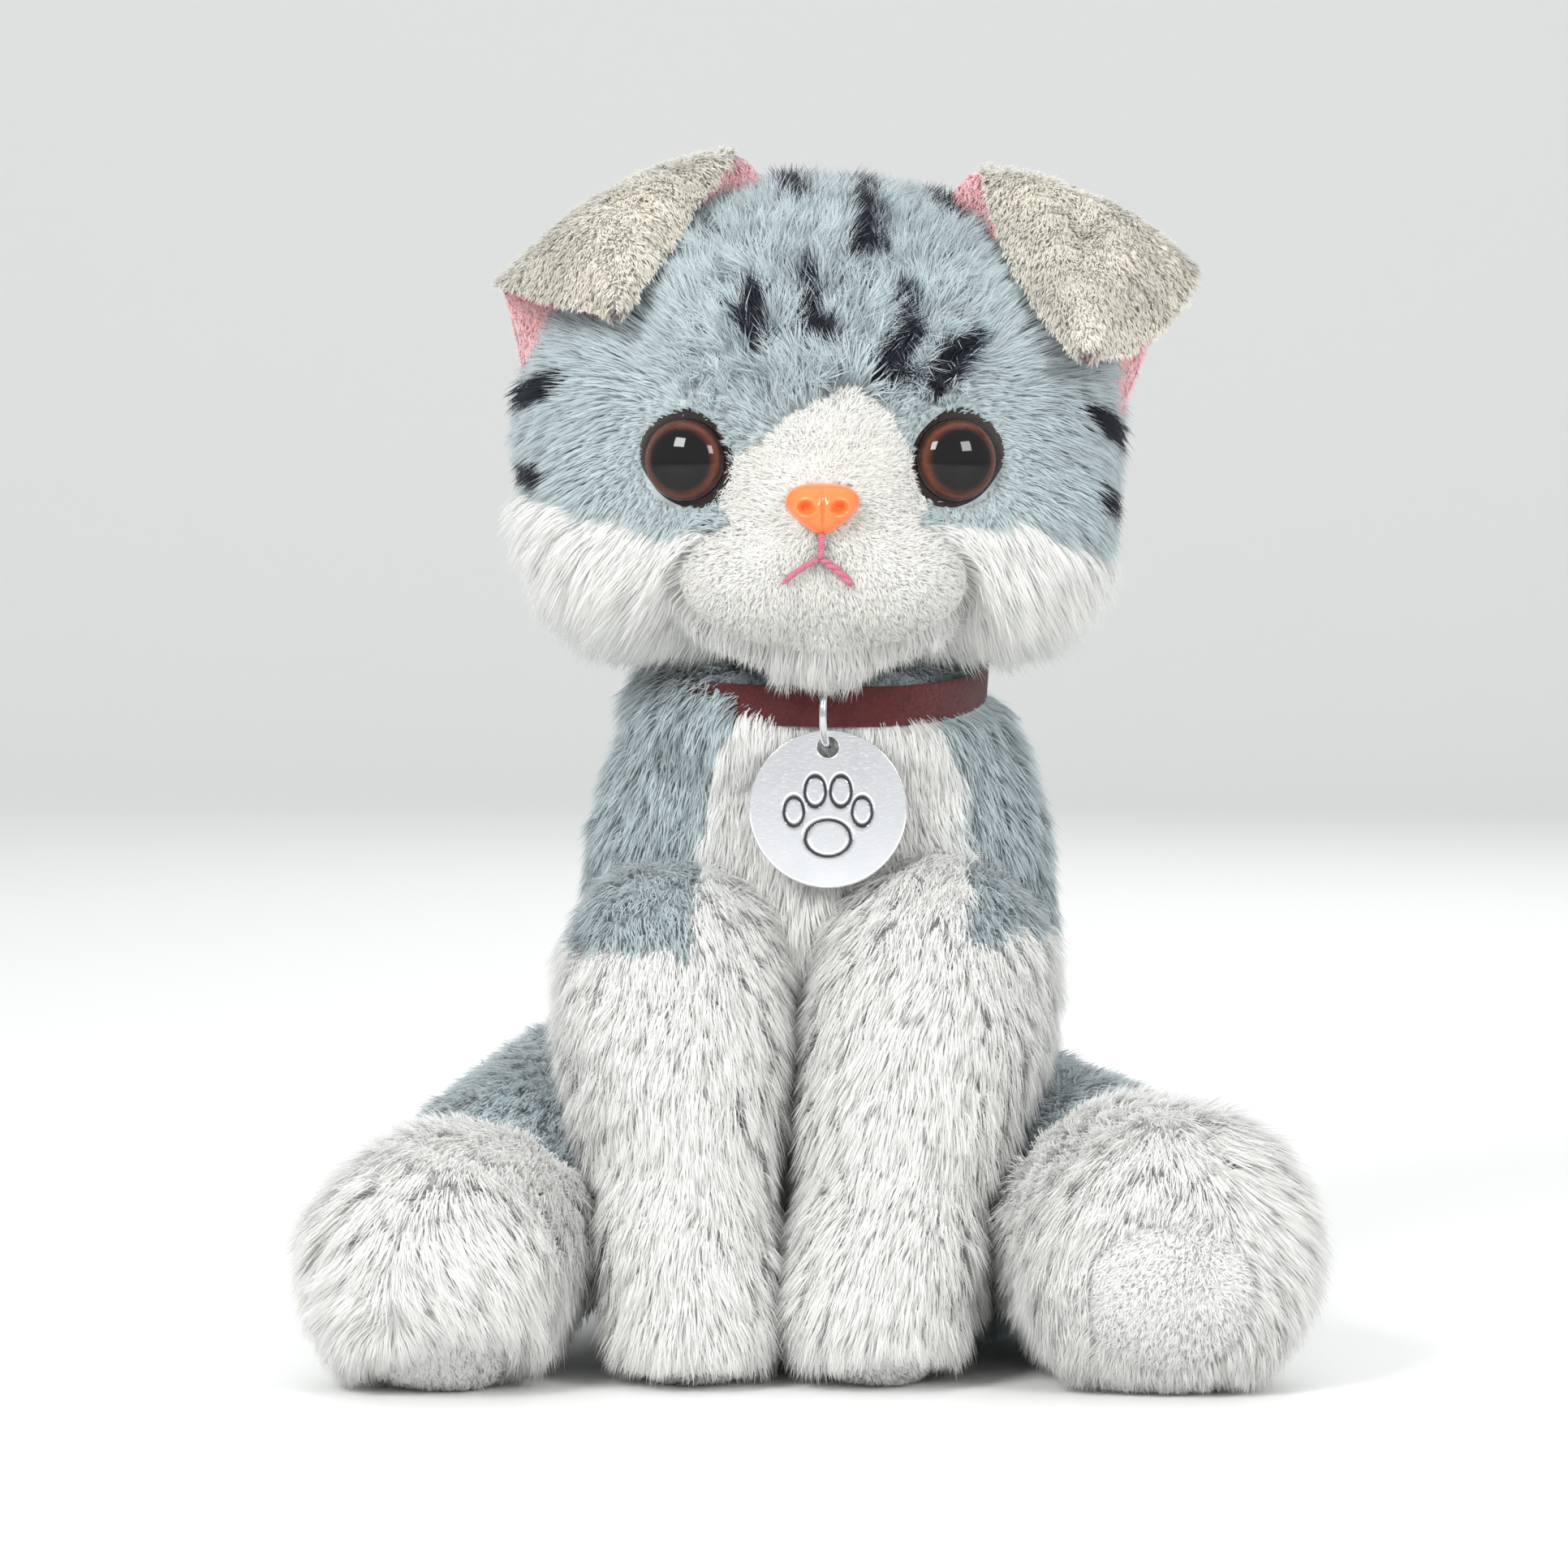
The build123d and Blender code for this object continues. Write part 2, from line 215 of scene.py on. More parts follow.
# ------------------------------------------------------------------ surfaces and meshes
class Surface:
    """A grid of points over two parameters, with its outward normals.

    Rows run from one pole or edge to the other, and columns go round when wrap is true.
    """

    def __init__(self, points: Array, inside: Array | None = None, wrap: bool = True) -> None:
        """Work out the normals as the cross product of the two grid directions.

        Args:
            points: An array of shape (rows, columns, 3), in millimetres.
            inside: A point that the normals look away from.
            wrap: Whether the last column joins the first.
        """
        self.points, self.wrap = points, wrap
        down = np.gradient(points, axis=0)
        if wrap:
            across = (np.roll(points, -1, axis=1) - np.roll(points, 1, axis=1)) / 2
        else:
            across = np.gradient(points, axis=1)
        normals = np.cross(down, across)
        if wrap:
            normals[0], normals[-1] = normals[1].mean(axis=0), normals[-2].mean(axis=0)
        if inside is not None and (normals * (points - inside)).sum() < 0:
            normals = -normals
        self.normals = unit(normals)

    def at(self, u: Array, v: Array) -> tuple[Array, Array]:
        """Points and normals at fractional rows u and columns v, by bilinear blending."""
        rows, columns = self.points.shape[:2]
        i = np.clip(np.floor(u).astype(int), 0, rows - 2)
        j = np.floor(v).astype(int)
        fu, fv = (u - i)[:, None], (v - j)[:, None]
        j = j % columns if self.wrap else np.clip(j, 0, columns - 2)
        k = (j + 1) % columns

        def read(grid: Array) -> Array:
            """Blend the four grid values round each place."""
            low = grid[i, j] * (1 - fv) + grid[i, k] * fv
            high = grid[i + 1, j] * (1 - fv) + grid[i + 1, k] * fv
            return low * (1 - fu) + high * fu

        return read(self.points), unit(read(self.normals))

    def scatter(self, per_mm2: float, seed: int) -> tuple[Array, Array]:
        """Roots spread evenly by area.

        Args:
            per_mm2: Roots for each square millimetre.
            seed: Seeds the draw.
        Returns:
            The roots and their normals.
        """
        p = self.points
        q = np.roll(p, -1, axis=1) if self.wrap else p[:, 1:]
        p = p if self.wrap else p[:, :-1]
        area = np.linalg.norm(np.cross(p[1:] - q[:-1], q[1:] - p[:-1]), axis=-1) / 2
        rng = np.random.default_rng(seed)
        count = int(area.sum() * per_mm2)
        edges = np.cumsum(area.ravel())
        pick = np.searchsorted(edges, rng.random(count) * edges[-1])
        pick = np.minimum(pick, area.size - 1)
        u = pick // area.shape[1] + rng.random(count)
        v = pick % area.shape[1] + rng.random(count)
        return self.at(u, v)

    def offset(self, distance: float) -> Array:
        """The grid moved out along its normals."""
        return self.points + self.normals * distance


def make_object(name: str, vertices: Array, faces: list, smooth: bool = True) -> bpy.types.Object:
    """A mesh object at the origin.

    Args:
        name: The piece's name.
        vertices: Points in millimetres.
        faces: Vertex indices of each face.
        smooth: Whether the faces are shaded smooth.
    Returns:
        The new object.
    """
    mesh = bpy.data.meshes.new(name)
    mesh.from_pydata((np.asarray(vertices) * MM).tolist(), [], faces)
    mesh.polygons.foreach_set("use_smooth", np.full(len(mesh.polygons), smooth))
    mesh.update()
    piece = bpy.data.objects.new(name, mesh)
    bpy.context.scene.collection.objects.link(piece)
    return piece


def ring_faces(rows: int, columns: int, start: int = 0) -> list[tuple[int, ...]]:
    """Quads between neighbouring rings of a wrapped grid."""
    i, j = np.meshgrid(np.arange(rows - 1), np.arange(columns), indexing="ij")
    k = (j + 1) % columns
    quads = np.stack([i * columns + j, i * columns + k, (i + 1) * columns + k, (i + 1) * columns + j], -1)
    return [tuple(q) for q in (quads.reshape(-1, 4) + start).tolist()]


def outward(vertices: Array, faces: list, inside: Array) -> list:
    """The faces, all turned over if they look towards the inside point on the whole."""
    tri = np.array([f[:3] for f in faces])
    a, b, c = vertices[tri[:, 0]], vertices[tri[:, 1]], vertices[tri[:, 2]]
    if (np.cross(b - a, c - a) * (a - inside)).sum() < 0:
        return [tuple(reversed(f)) for f in faces]
    return faces


def closed_mesh(name: str, points: Array, inside: Array, smooth: bool = True) -> bpy.types.Object:
    """A closed mesh from a wrapped grid whose first and last rows are poles.

    Args:
        name: The piece's name.
        points: The grid, in millimetres.
        inside: A point that the faces look away from.
        smooth: Whether it is shaded smooth.
    Returns:
        The new object.
    """
    rows, columns = points.shape[:2]
    rings = points[1:-1].reshape(-1, 3)
    vertices = np.vstack([points[0].mean(axis=0), rings, points[-1].mean(axis=0)])
    faces = ring_faces(rows - 2, columns, 1)
    last = len(vertices) - 1
    foot = last - columns
    for j in range(columns):
        k = (j + 1) % columns
        faces.append((0, 1 + k, 1 + j))
        faces.append((last, foot + j, foot + k))
    return make_object(name, vertices, outward(vertices, faces, inside), smooth)


def ring_mesh(name: str, loops: Array) -> bpy.types.Object:
    """A closed tube that bites its own tail: both directions of the grid wrap.

    Args:
        name: The piece's name.
        loops: The grid, rows along the tube and columns round it.
    Returns:
        The new object.
    """
    rows, columns = loops.shape[:2]
    i, j = np.meshgrid(np.arange(rows), np.arange(columns), indexing="ij")
    n, k = (i + 1) % rows, (j + 1) % columns
    quads = np.stack([i * columns + j, i * columns + k, n * columns + k, n * columns + j], -1).reshape(-1, 4)
    vertices = loops.reshape(-1, 3)
    middle = loops.mean(axis=1)
    a, b, d = loops, np.roll(loops, -1, axis=1), np.roll(loops, -1, axis=0)
    if (np.cross(b - a, d - a) * (a - middle[:, None])).sum() < 0:
        quads = quads[:, ::-1]
    return make_object(name, vertices, [tuple(q) for q in quads.tolist()])


def sheet_mesh(name: str, top: Array, bottom: Array) -> bpy.types.Object:
    """A thin closed shell between two open grids of the same shape, walled round its rim."""
    rows, columns = top.shape[:2]
    count = rows * columns
    index = np.arange(count).reshape(rows, columns)
    a, b, c, d = index[:-1, :-1], index[:-1, 1:], index[1:, 1:], index[1:, :-1]
    upper = np.stack([a, b, c, d], -1).reshape(-1, 4)
    lower = upper[:, ::-1] + count
    rim = np.concatenate([index[0, :], index[1:, -1], index[-1, -2::-1], index[-2:0:-1, 0]])
    after = np.roll(rim, -1)
    wall = np.stack([after, rim, rim + count, after + count], -1)
    vertices = np.concatenate([top.reshape(-1, 3), bottom.reshape(-1, 3)])
    faces = np.concatenate([upper, lower, wall])
    first = np.cross(top[0, 1] - top[0, 0], top[1, 0] - top[0, 0])
    if (first * (top[0, 0] - bottom[0, 0])).sum() < 0:
        faces = faces[:, ::-1]
    return make_object(name, vertices, [tuple(f) for f in faces.tolist()])


def tube(path: Array, radius: Array, columns: int, side: Array) -> Array:
    """Rings carried along a path, closed to a point at both ends.

    Args:
        path: Points along the middle.
        radius: One radius a point.
        columns: Points round each ring.
        side: A direction never along the path.
    Returns:
        The grid, with a pole row added at each end.
    """
    along = unit(np.gradient(path, axis=0))
    across = unit(np.cross(along, side))
    other = np.cross(across, along)
    angle = np.linspace(0, 2 * math.pi, columns, endpoint=False)
    ring = np.cos(angle)[None, :, None] * across[:, None] + np.sin(angle)[None, :, None] * other[:, None]
    grid = path[:, None] + ring * np.asarray(radius)[:, None, None]
    ends = [np.repeat(path[k][None, None], columns, axis=1) for k in (0, -1)]
    return np.concatenate([ends[0], grid, ends[1]])


def turned(profile: list[tuple[float, float]], columns: int, place: Array, axis: Array) -> Array:
    """A profile of (radius, height) turned about an axis.

    Args:
        profile: Radius and height of each ring, starting and ending on the axis.
        columns: Points round.
        place: The origin of the heights.
        axis: The unit axis.
    Returns:
        The grid.
    """
    side = unit(np.cross(axis, UP if abs(axis[2]) < 0.9 else np.array([1.0, 0, 0])))
    other = np.cross(axis, side)
    angle = np.linspace(0, 2 * math.pi, columns, endpoint=False)
    radius, height = np.array(profile).T
    ring = np.cos(angle)[:, None] * side + np.sin(angle)[:, None] * other
    return place + radius[:, None, None] * ring[None] + height[:, None, None] * axis


# ------------------------------------------------------------------ shader building
class Tree:
    """A short way to write a node tree."""

    def __init__(self, tree: bpy.types.NodeTree) -> None:
        """Wrap a node tree."""
        self.tree = tree

    def add(self, kind: str, values: dict | None = None, **settings: object) -> bpy.types.Node:
        """A new node.

        Args:
            kind: Its type name, without the ShaderNode part.
            values: Socket name or index to a value, or to an output socket to link.
            settings: The node's own properties.
        Returns:
            The node.
        """
        node = self.tree.nodes.new("ShaderNode" + kind)
        for key, value in settings.items():
            setattr(node, key, value)
        for socket, value in (values or {}).items():
            if isinstance(value, bpy.types.NodeSocket):
                self.tree.links.new(value, node.inputs[socket])
            else:
                node.inputs[socket].default_value = value
        return node

    def math(self, operation: str, a: object, b: object = 0.0) -> bpy.types.NodeSocket:
        """The result of a Math node."""
        return self.add("Math", {0: a, 1: b}, operation=operation).outputs[0]

    def mix(self, share: object, a: object, b: object, kind: str = "MIX") -> bpy.types.NodeSocket:
        """The result of a colour Mix node."""
        node = self.add("Mix", data_type="RGBA", blend_type=kind)
        for socket, value in ((0, share), (6, a), (7, b)):
            if isinstance(value, bpy.types.NodeSocket):
                self.tree.links.new(value, node.inputs[socket])
            else:
                node.inputs[socket].default_value = value
        return node.outputs[2]

    def link(self, out: bpy.types.NodeSocket, into: bpy.types.NodeSocket) -> None:
        """Join two sockets."""
        self.tree.links.new(out, into)


class Effects(Enum):
    """Node groups that several finishes share."""

    PILE = "pile_tone"
    GRAIN = "fibre_grain"
    WEAR = "fine_wear"


def group_shell(name: str, inputs: list[tuple], outputs: list[tuple]) -> tuple:
    """An empty node group with its sockets.

    Args:
        name: The group's name.
        inputs: Name, socket type and start value of each input.
        outputs: Name and socket type of each output.
    Returns:
        The group, a Tree on it, its input node and its output node.
    """
    group = bpy.data.node_groups.new(name, "ShaderNodeTree")
    for label, kind, value in inputs:
        socket = group.interface.new_socket(label, in_out="INPUT", socket_type=kind)
        socket.default_value = value
    for label, kind in outputs:
        group.interface.new_socket(label, in_out="OUTPUT", socket_type=kind)
    return group, Tree(group), group.nodes.new("NodeGroupInput"), group.nodes.new("NodeGroupOutput")


def build_pile_group() -> None:
    """Strand colour: painted shade at the root, painted light at the tip, each strand a little different."""
    colour, number = "NodeSocketColor", "NodeSocketFloat"
    _, t, given, out = group_shell(
        Effects.PILE.value,
        [("Cloth", colour, (1, 1, 1, 1)), ("Along", number, 0.5), ("Chance", number, 0.5),
         ("Root Shade", number, 0.6), ("Tip Light", number, 1.1), ("Spread", number, 0.15)],
        [("Colour", colour), ("Roughness", number)])
    # Painted shade at the root rising to painted light at the tip, by the share along the strand.
    rise = t.math("POWER", given.outputs["Along"], 0.7)
    span = t.math("SUBTRACT", given.outputs["Tip Light"], given.outputs["Root Shade"])
    shade = t.math("ADD", t.math("MULTIPLY", rise, span), given.outputs["Root Shade"])
    centred = t.math("SUBTRACT", given.outputs["Chance"], 0.5)
    own = t.math("ADD", t.math("MULTIPLY", centred, given.outputs["Spread"]), 1.0)
    total = t.math("MULTIPLY", shade, own)
    grey = t.add("CombineColor", {0: total, 1: total, 2: total}).outputs[0]
    t.link(t.mix(1.0, given.outputs["Cloth"], grey, "MULTIPLY"), out.inputs["Colour"])
    t.link(t.math("ADD", t.math("MULTIPLY", centred, 0.2), 0.62), out.inputs["Roughness"])


def build_grain_group() -> None:
    """Fibre grain: two sizes of noise as a mask, and the height that it stands up."""
    number = "NodeSocketFloat"
    _, t, given, out = group_shell(
        Effects.GRAIN.value,
        [("Vector", "NodeSocketVector", (0, 0, 0)), ("Scale", number, 900.0), ("Stretch", number, 0.0)],
        [("Mask", number), ("Height", number), ("Mottle", number)])
    fine = t.add("TexNoise", {"Vector": given.outputs["Vector"], "Scale": given.outputs["Scale"],
                              "Detail": 5.0, "Roughness": 0.65, "Distortion": given.outputs["Stretch"]})
    coarse_scale = t.math("MULTIPLY", given.outputs["Scale"], 0.13)
    coarse = t.add("TexNoise", {"Vector": given.outputs["Vector"], "Scale": coarse_scale, "Detail": 3.0})
    wide = t.add("MapRange", {0: fine.outputs["Fac"], 1: 0.3, 2: 0.7})
    soft = t.add("MapRange", {0: coarse.outputs["Fac"], 1: 0.35, 2: 0.65})
    t.link(wide.outputs[0], out.inputs["Mask"])
    t.link(soft.outputs[0], out.inputs["Mottle"])
    t.link(t.math("ADD", t.math("MULTIPLY", wide.outputs[0], 0.7), t.math("MULTIPLY", soft.outputs[0], 0.3)),
           out.inputs["Height"])


def build_wear_group() -> None:
    """Fine handling marks on hard trim: hair scratches and a cloudy roughness."""
    number = "NodeSocketFloat"
    _, t, given, out = group_shell(
        Effects.WEAR.value,
        [("Vector", "NodeSocketVector", (0, 0, 0)), ("Scale", number, 200.0), ("Clear", number, 0.05),
         ("Worn", number, 0.2)],
        [("Roughness", number), ("Height", number), ("Mask", number)])
    cloud = t.add("TexNoise", {"Vector": given.outputs["Vector"], "Scale": given.outputs["Scale"],
                               "Detail": 4.0})
    bent = t.add("Mapping", {"Vector": given.outputs["Vector"], "Scale": (1.0, 1.0, 14.0)})
    finer = t.math("MULTIPLY", given.outputs["Scale"], 6.0)
    hair = t.add("TexNoise", {"Vector": bent.outputs[0], "Scale": finer, "Detail": 2.0})
    line = t.add("MapRange", {0: hair.outputs["Fac"], 1: 0.62, 2: 0.68})
    dull = t.add("MapRange", {0: cloud.outputs["Fac"], 1: 0.4, 2: 0.7})
    amount = t.math("MAXIMUM", t.math("MULTIPLY", dull.outputs[0], 0.5), line.outputs[0])
    span = t.math("SUBTRACT", given.outputs["Worn"], given.outputs["Clear"])
    t.link(t.math("ADD", t.math("MULTIPLY", amount, span), given.outputs["Clear"]), out.inputs["Roughness"])
    t.link(line.outputs[0], out.inputs["Height"])
    t.link(dull.outputs[0], out.inputs["Mask"])


def new_material(name: str) -> tuple[bpy.types.Material, Tree, bpy.types.Node]:
    """A material that holds only a Principled shader and its output."""
    material = bpy.data.materials.new(name)
    material.use_nodes = True
    t = Tree(material.node_tree)
    material.node_tree.nodes.clear()
    shader = t.add("BsdfPrincipled")
    output = t.add("OutputMaterial")
    t.link(shader.outputs[0], output.inputs["Surface"])
    return material, t, shader


def effect(t: Tree, which: Effects, values: dict) -> bpy.types.Node:
    """Place a shared group, its sockets filled with this material's own values."""
    node = t.tree.nodes.new("ShaderNodeGroup")
    node.node_tree = bpy.data.node_groups[which.value]
    for socket, value in values.items():
        if isinstance(value, bpy.types.NodeSocket):
            t.link(value, node.inputs[socket])
        else:
            node.inputs[socket].default_value = value
    return node


def srgb(red: float, green: float, blue: float) -> tuple[float, float, float, float]:
    """A display colour, 0 to 255, as a linear one."""
    linear = [c / 12.92 if c <= 0.04045 else ((c + 0.055) / 1.055) ** 2.4 for c in
              (red / 255, green / 255, blue / 255)]
    return (*linear, 1.0)


@dataclass(frozen=True)
class PileFinish:
    """Cut pile: colour comes from the strands' own attribute, with painted shade at the root and painted
    light at the tip.
    """

    name: str
    # root and tip: the painted shade at a strand's root and the painted light at its tip, as shares of the
    # cloth's colour
    root: float = 0.55
    tip: float = 1.12
    spread: float = 0.18
    sheen: float = 0.25
    through: float = 0.5

    def make(self) -> bpy.types.Material:
        """Build the material. A strand seen from behind keeps the light of its front."""
        material, t, shader = new_material(self.name)
        cloth = t.add("Attribute", attribute_name="pile_colour").outputs["Color"]
        along = t.add("Attribute", attribute_name="pile_along").outputs["Fac"]
        chance = t.add("Attribute", attribute_name="pile_chance").outputs["Fac"]
        tone = effect(t, Effects.PILE, {"Cloth": cloth, "Along": along, "Chance": chance,
                                        "Root Shade": self.root, "Tip Light": self.tip, "Spread": self.spread})
        t.link(tone.outputs["Colour"], shader.inputs["Base Color"])
        t.link(tone.outputs["Roughness"], shader.inputs["Roughness"])
        place = t.add("NewGeometry")
        flip = t.math("SUBTRACT", 1.0, t.math("MULTIPLY", place.outputs["Backfacing"], 2.0))
        normal = t.add("VectorMath", {0: place.outputs["Normal"], "Scale": flip}, operation="SCALE")
        t.link(normal.outputs[0], shader.inputs["Normal"])
        shader.inputs["Specular IOR Level"].default_value = 0.25
        shader.inputs["Sheen Weight"].default_value = self.sheen
        shader.inputs["Sheen Roughness"].default_value = 0.5
        glow = t.add("BsdfTranslucent", {"Color": tone.outputs["Colour"]})
        both = t.add("MixShader", {0: self.through, 1: shader.outputs[0], 2: glow.outputs[0]})
        output = next(n for n in t.tree.nodes if n.type == "OUTPUT_MATERIAL")
        t.link(both.outputs[0], output.inputs["Surface"])
        return material


@dataclass(frozen=True)
class ClothFinish:
    """The knitted backing under a pile, or felt, suede and fibre: a grain over a base colour."""

    name: str
    light: tuple
    dark: tuple
    scale: float = 900.0
    stretch: float = 0.5
    depth: float = 0.3
    lift: float = 0.0004
    roughness: float = 0.9
    sheen: float = 0.3
    own_colour: bool = False

    def make(self) -> bpy.types.Material:
        """Build the material."""
        material, t, shader = new_material(self.name)
        where = t.add("TexCoord").outputs["Object"]
        grain = effect(t, Effects.GRAIN, {"Vector": where, "Scale": self.scale, "Stretch": self.stretch})
        base = self.light
        if self.own_colour:
            base = t.add("Attribute", attribute_name="pile_colour").outputs["Color"]
        mottled = t.mix(t.math("MULTIPLY", grain.outputs["Mottle"], 0.5), base, self.dark)
        colour = t.mix(t.math("MULTIPLY", grain.outputs["Mask"], self.depth), mottled, self.dark)
        t.link(colour, shader.inputs["Base Color"])
        rough = t.add("MapRange", {0: grain.outputs["Mask"], 3: self.roughness - 0.08, 4: self.roughness})
        t.link(rough.outputs[0], shader.inputs["Roughness"])
        bump = t.add("Bump", {"Height": grain.outputs["Height"], "Strength": 0.7, "Distance": self.lift})
        t.link(bump.outputs[0], shader.inputs["Normal"])
        shader.inputs["Sheen Weight"].default_value = self.sheen
        shader.inputs["Sheen Roughness"].default_value = 0.4
        return material


@dataclass(frozen=True)
class HardFinish:
    """Moulded plastic or polished metal with fine handling marks."""

    name: str
    colour: tuple
    metallic: float = 0.0
    clear: float = 0.12
    worn: float = 0.3
    coat: float = 0.0
    scale: float = 250.0
    subsurface: float = 0.0
    etched: bool = False

    def make(self) -> bpy.types.Material:
        """Build the material."""
        material, t, shader = new_material(self.name)
        where = t.add("TexCoord").outputs["Object"]
        wear = effect(t, Effects.WEAR, {"Vector": where, "Scale": self.scale, "Clear": self.clear,
                                        "Worn": self.worn})
        darker = tuple(c * 0.86 for c in self.colour[:3]) + (1.0,)
        colour = t.mix(t.math("MULTIPLY", wear.outputs["Mask"], 0.5), self.colour, darker)
        if self.etched:
            line = t.add("Attribute", attribute_name="etch").outputs["Fac"]
            colour = t.mix(line, colour, srgb(70, 70, 74))
        t.link(colour, shader.inputs["Base Color"])
        t.link(wear.outputs["Roughness"], shader.inputs["Roughness"])
        bump = t.add("Bump", {"Height": wear.outputs["Height"], "Strength": 0.12, "Distance": 0.00005})
        t.link(bump.outputs[0], shader.inputs["Normal"])
        shader.inputs["Metallic"].default_value = self.metallic
        shader.inputs["Coat Weight"].default_value = self.coat
        shader.inputs["Coat Roughness"].default_value = 0.03
        shader.inputs["Subsurface Weight"].default_value = self.subsurface
        shader.inputs["Subsurface Radius"].default_value = (0.004, 0.002, 0.001)
        shader.inputs["Subsurface Scale"].default_value = 0.5
        return material


@dataclass(frozen=True)
class EyeFinish:
    """A safety eye: black pupil, brown iris that lightens outwards, dark rim, glossy all over."""

    name: str = "glossy_eye"
    pupil: float = 0.70
    rim: float = 0.95

    def make(self) -> bpy.types.Material:
        """Build the material from the dome's own radial attribute."""
        material, t, shader = new_material(self.name)
        radial = t.add("Attribute", attribute_name="radial").outputs["Fac"]
        where = t.add("TexCoord").outputs["Object"]
        streak = t.add("TexNoise", {"Vector": where, "Scale": 900.0, "Detail": 4.0})
        nudge = t.math("MULTIPLY", t.math("SUBTRACT", streak.outputs["Fac"], 0.5), 0.05)
        ring = t.add("ValToRGB", {0: t.math("ADD", radial, nudge)})
        stops = [(0.0, (0.004, 0.004, 0.005, 1)), (self.pupil, (0.005, 0.004, 0.004, 1)),
                 (self.pupil + 0.05, srgb(46, 22, 16)), (0.88, srgb(92, 50, 36)),
                 (self.rim, srgb(48, 26, 20)), (1.0, srgb(20, 12, 9))]
        ramp_stops = ring.color_ramp.elements
        for position, colour in stops[1:-1]:
            ramp_stops.new(position).color = colour
        ramp_stops[0].color, ramp_stops[-1].color = stops[0][1], stops[-1][1]
        t.link(ring.outputs[0], shader.inputs["Base Color"])
        dust = t.add("MapRange", {0: streak.outputs["Fac"], 1: 0.5, 2: 0.8, 3: 0.03, 4: 0.09})
        t.link(dust.outputs[0], shader.inputs["Roughness"])
        shader.inputs["IOR"].default_value = 1.36
        return material


@dataclass(frozen=True)
class ThreadFinish:
    """Twisted embroidery thread: plies that wind along the stitch, with painted shade in the grooves between
    them.
    """

    name: str
    colour: tuple

    def make(self) -> bpy.types.Material:
        """Build the material from the thread's own along and round attributes."""
        material, t, shader = new_material(self.name)
        along = t.add("Attribute", attribute_name="thread_along").outputs["Fac"]
        around = t.add("Attribute", attribute_name="thread_round").outputs["Fac"]
        wound = t.math("ADD", t.math("MULTIPLY", along, 9.0), t.math("MULTIPLY", around, 12.566))
        ply = t.math("ABSOLUTE", t.math("SINE", wound))
        # Painted shade: the thread's colour darkened to 0.55 in the grooves between the plies.
        darker = tuple(c * 0.55 for c in self.colour[:3]) + (1.0,)
        t.link(t.mix(ply, darker, self.colour), shader.inputs["Base Color"])
        bump = t.add("Bump", {"Height": ply, "Strength": 0.8, "Distance": 0.0001})
        t.link(bump.outputs[0], shader.inputs["Normal"])
        t.link(t.add("MapRange", {0: ply, 3: 0.6, 4: 0.4}).outputs[0], shader.inputs["Roughness"])
        shader.inputs["Sheen Weight"].default_value = 0.3
        return material


# ------------------------------------------------------------------ cloth colours
GREY = np.array(srgb(206, 217, 219)[:3])
PEPPER = np.array(srgb(112, 128, 136)[:3])
STRIPE = np.array(srgb(34, 40, 50)[:3])
WHITE = np.array(srgb(248, 248, 246)[:3])
MUZZLE_WHITE = np.array(srgb(238, 237, 233)[:3])
EAR_BEIGE = np.array(srgb(232, 229, 219)[:3])
PINK = np.array(srgb(248, 205, 208)[:3])


# ------------------------------------------------------------------ fur
@dataclass(frozen=True)
class Pile:
    """How a pile is cut and lies. Lengths in millimetres, angles in degrees."""

    length: float
    per_mm2: float
    width: float = 0.30
    tilt: float = 38.0
    bend: float = 26.0
    droop: float = 0.10
    frizz: float = 0.25
    tuft: float = 3.2
    gather: float = 0.45
    uneven: float = 0.30


STRANDS_A_PIECE = 66000
THINNING = 1.0
HIDDEN_SHARE = 0.12
SOLIDS: list[tuple[str, Callable[[Array], Array]]] = []


def under_others(points: Array, body: str) -> Array:
    """True where roots lie well inside the stuffing of another body, out of sight."""
    hidden = np.zeros(len(points), bool)
    for other, covers in SOLIDS:
        if other != body:
            hidden |= covers(points)
    return hidden


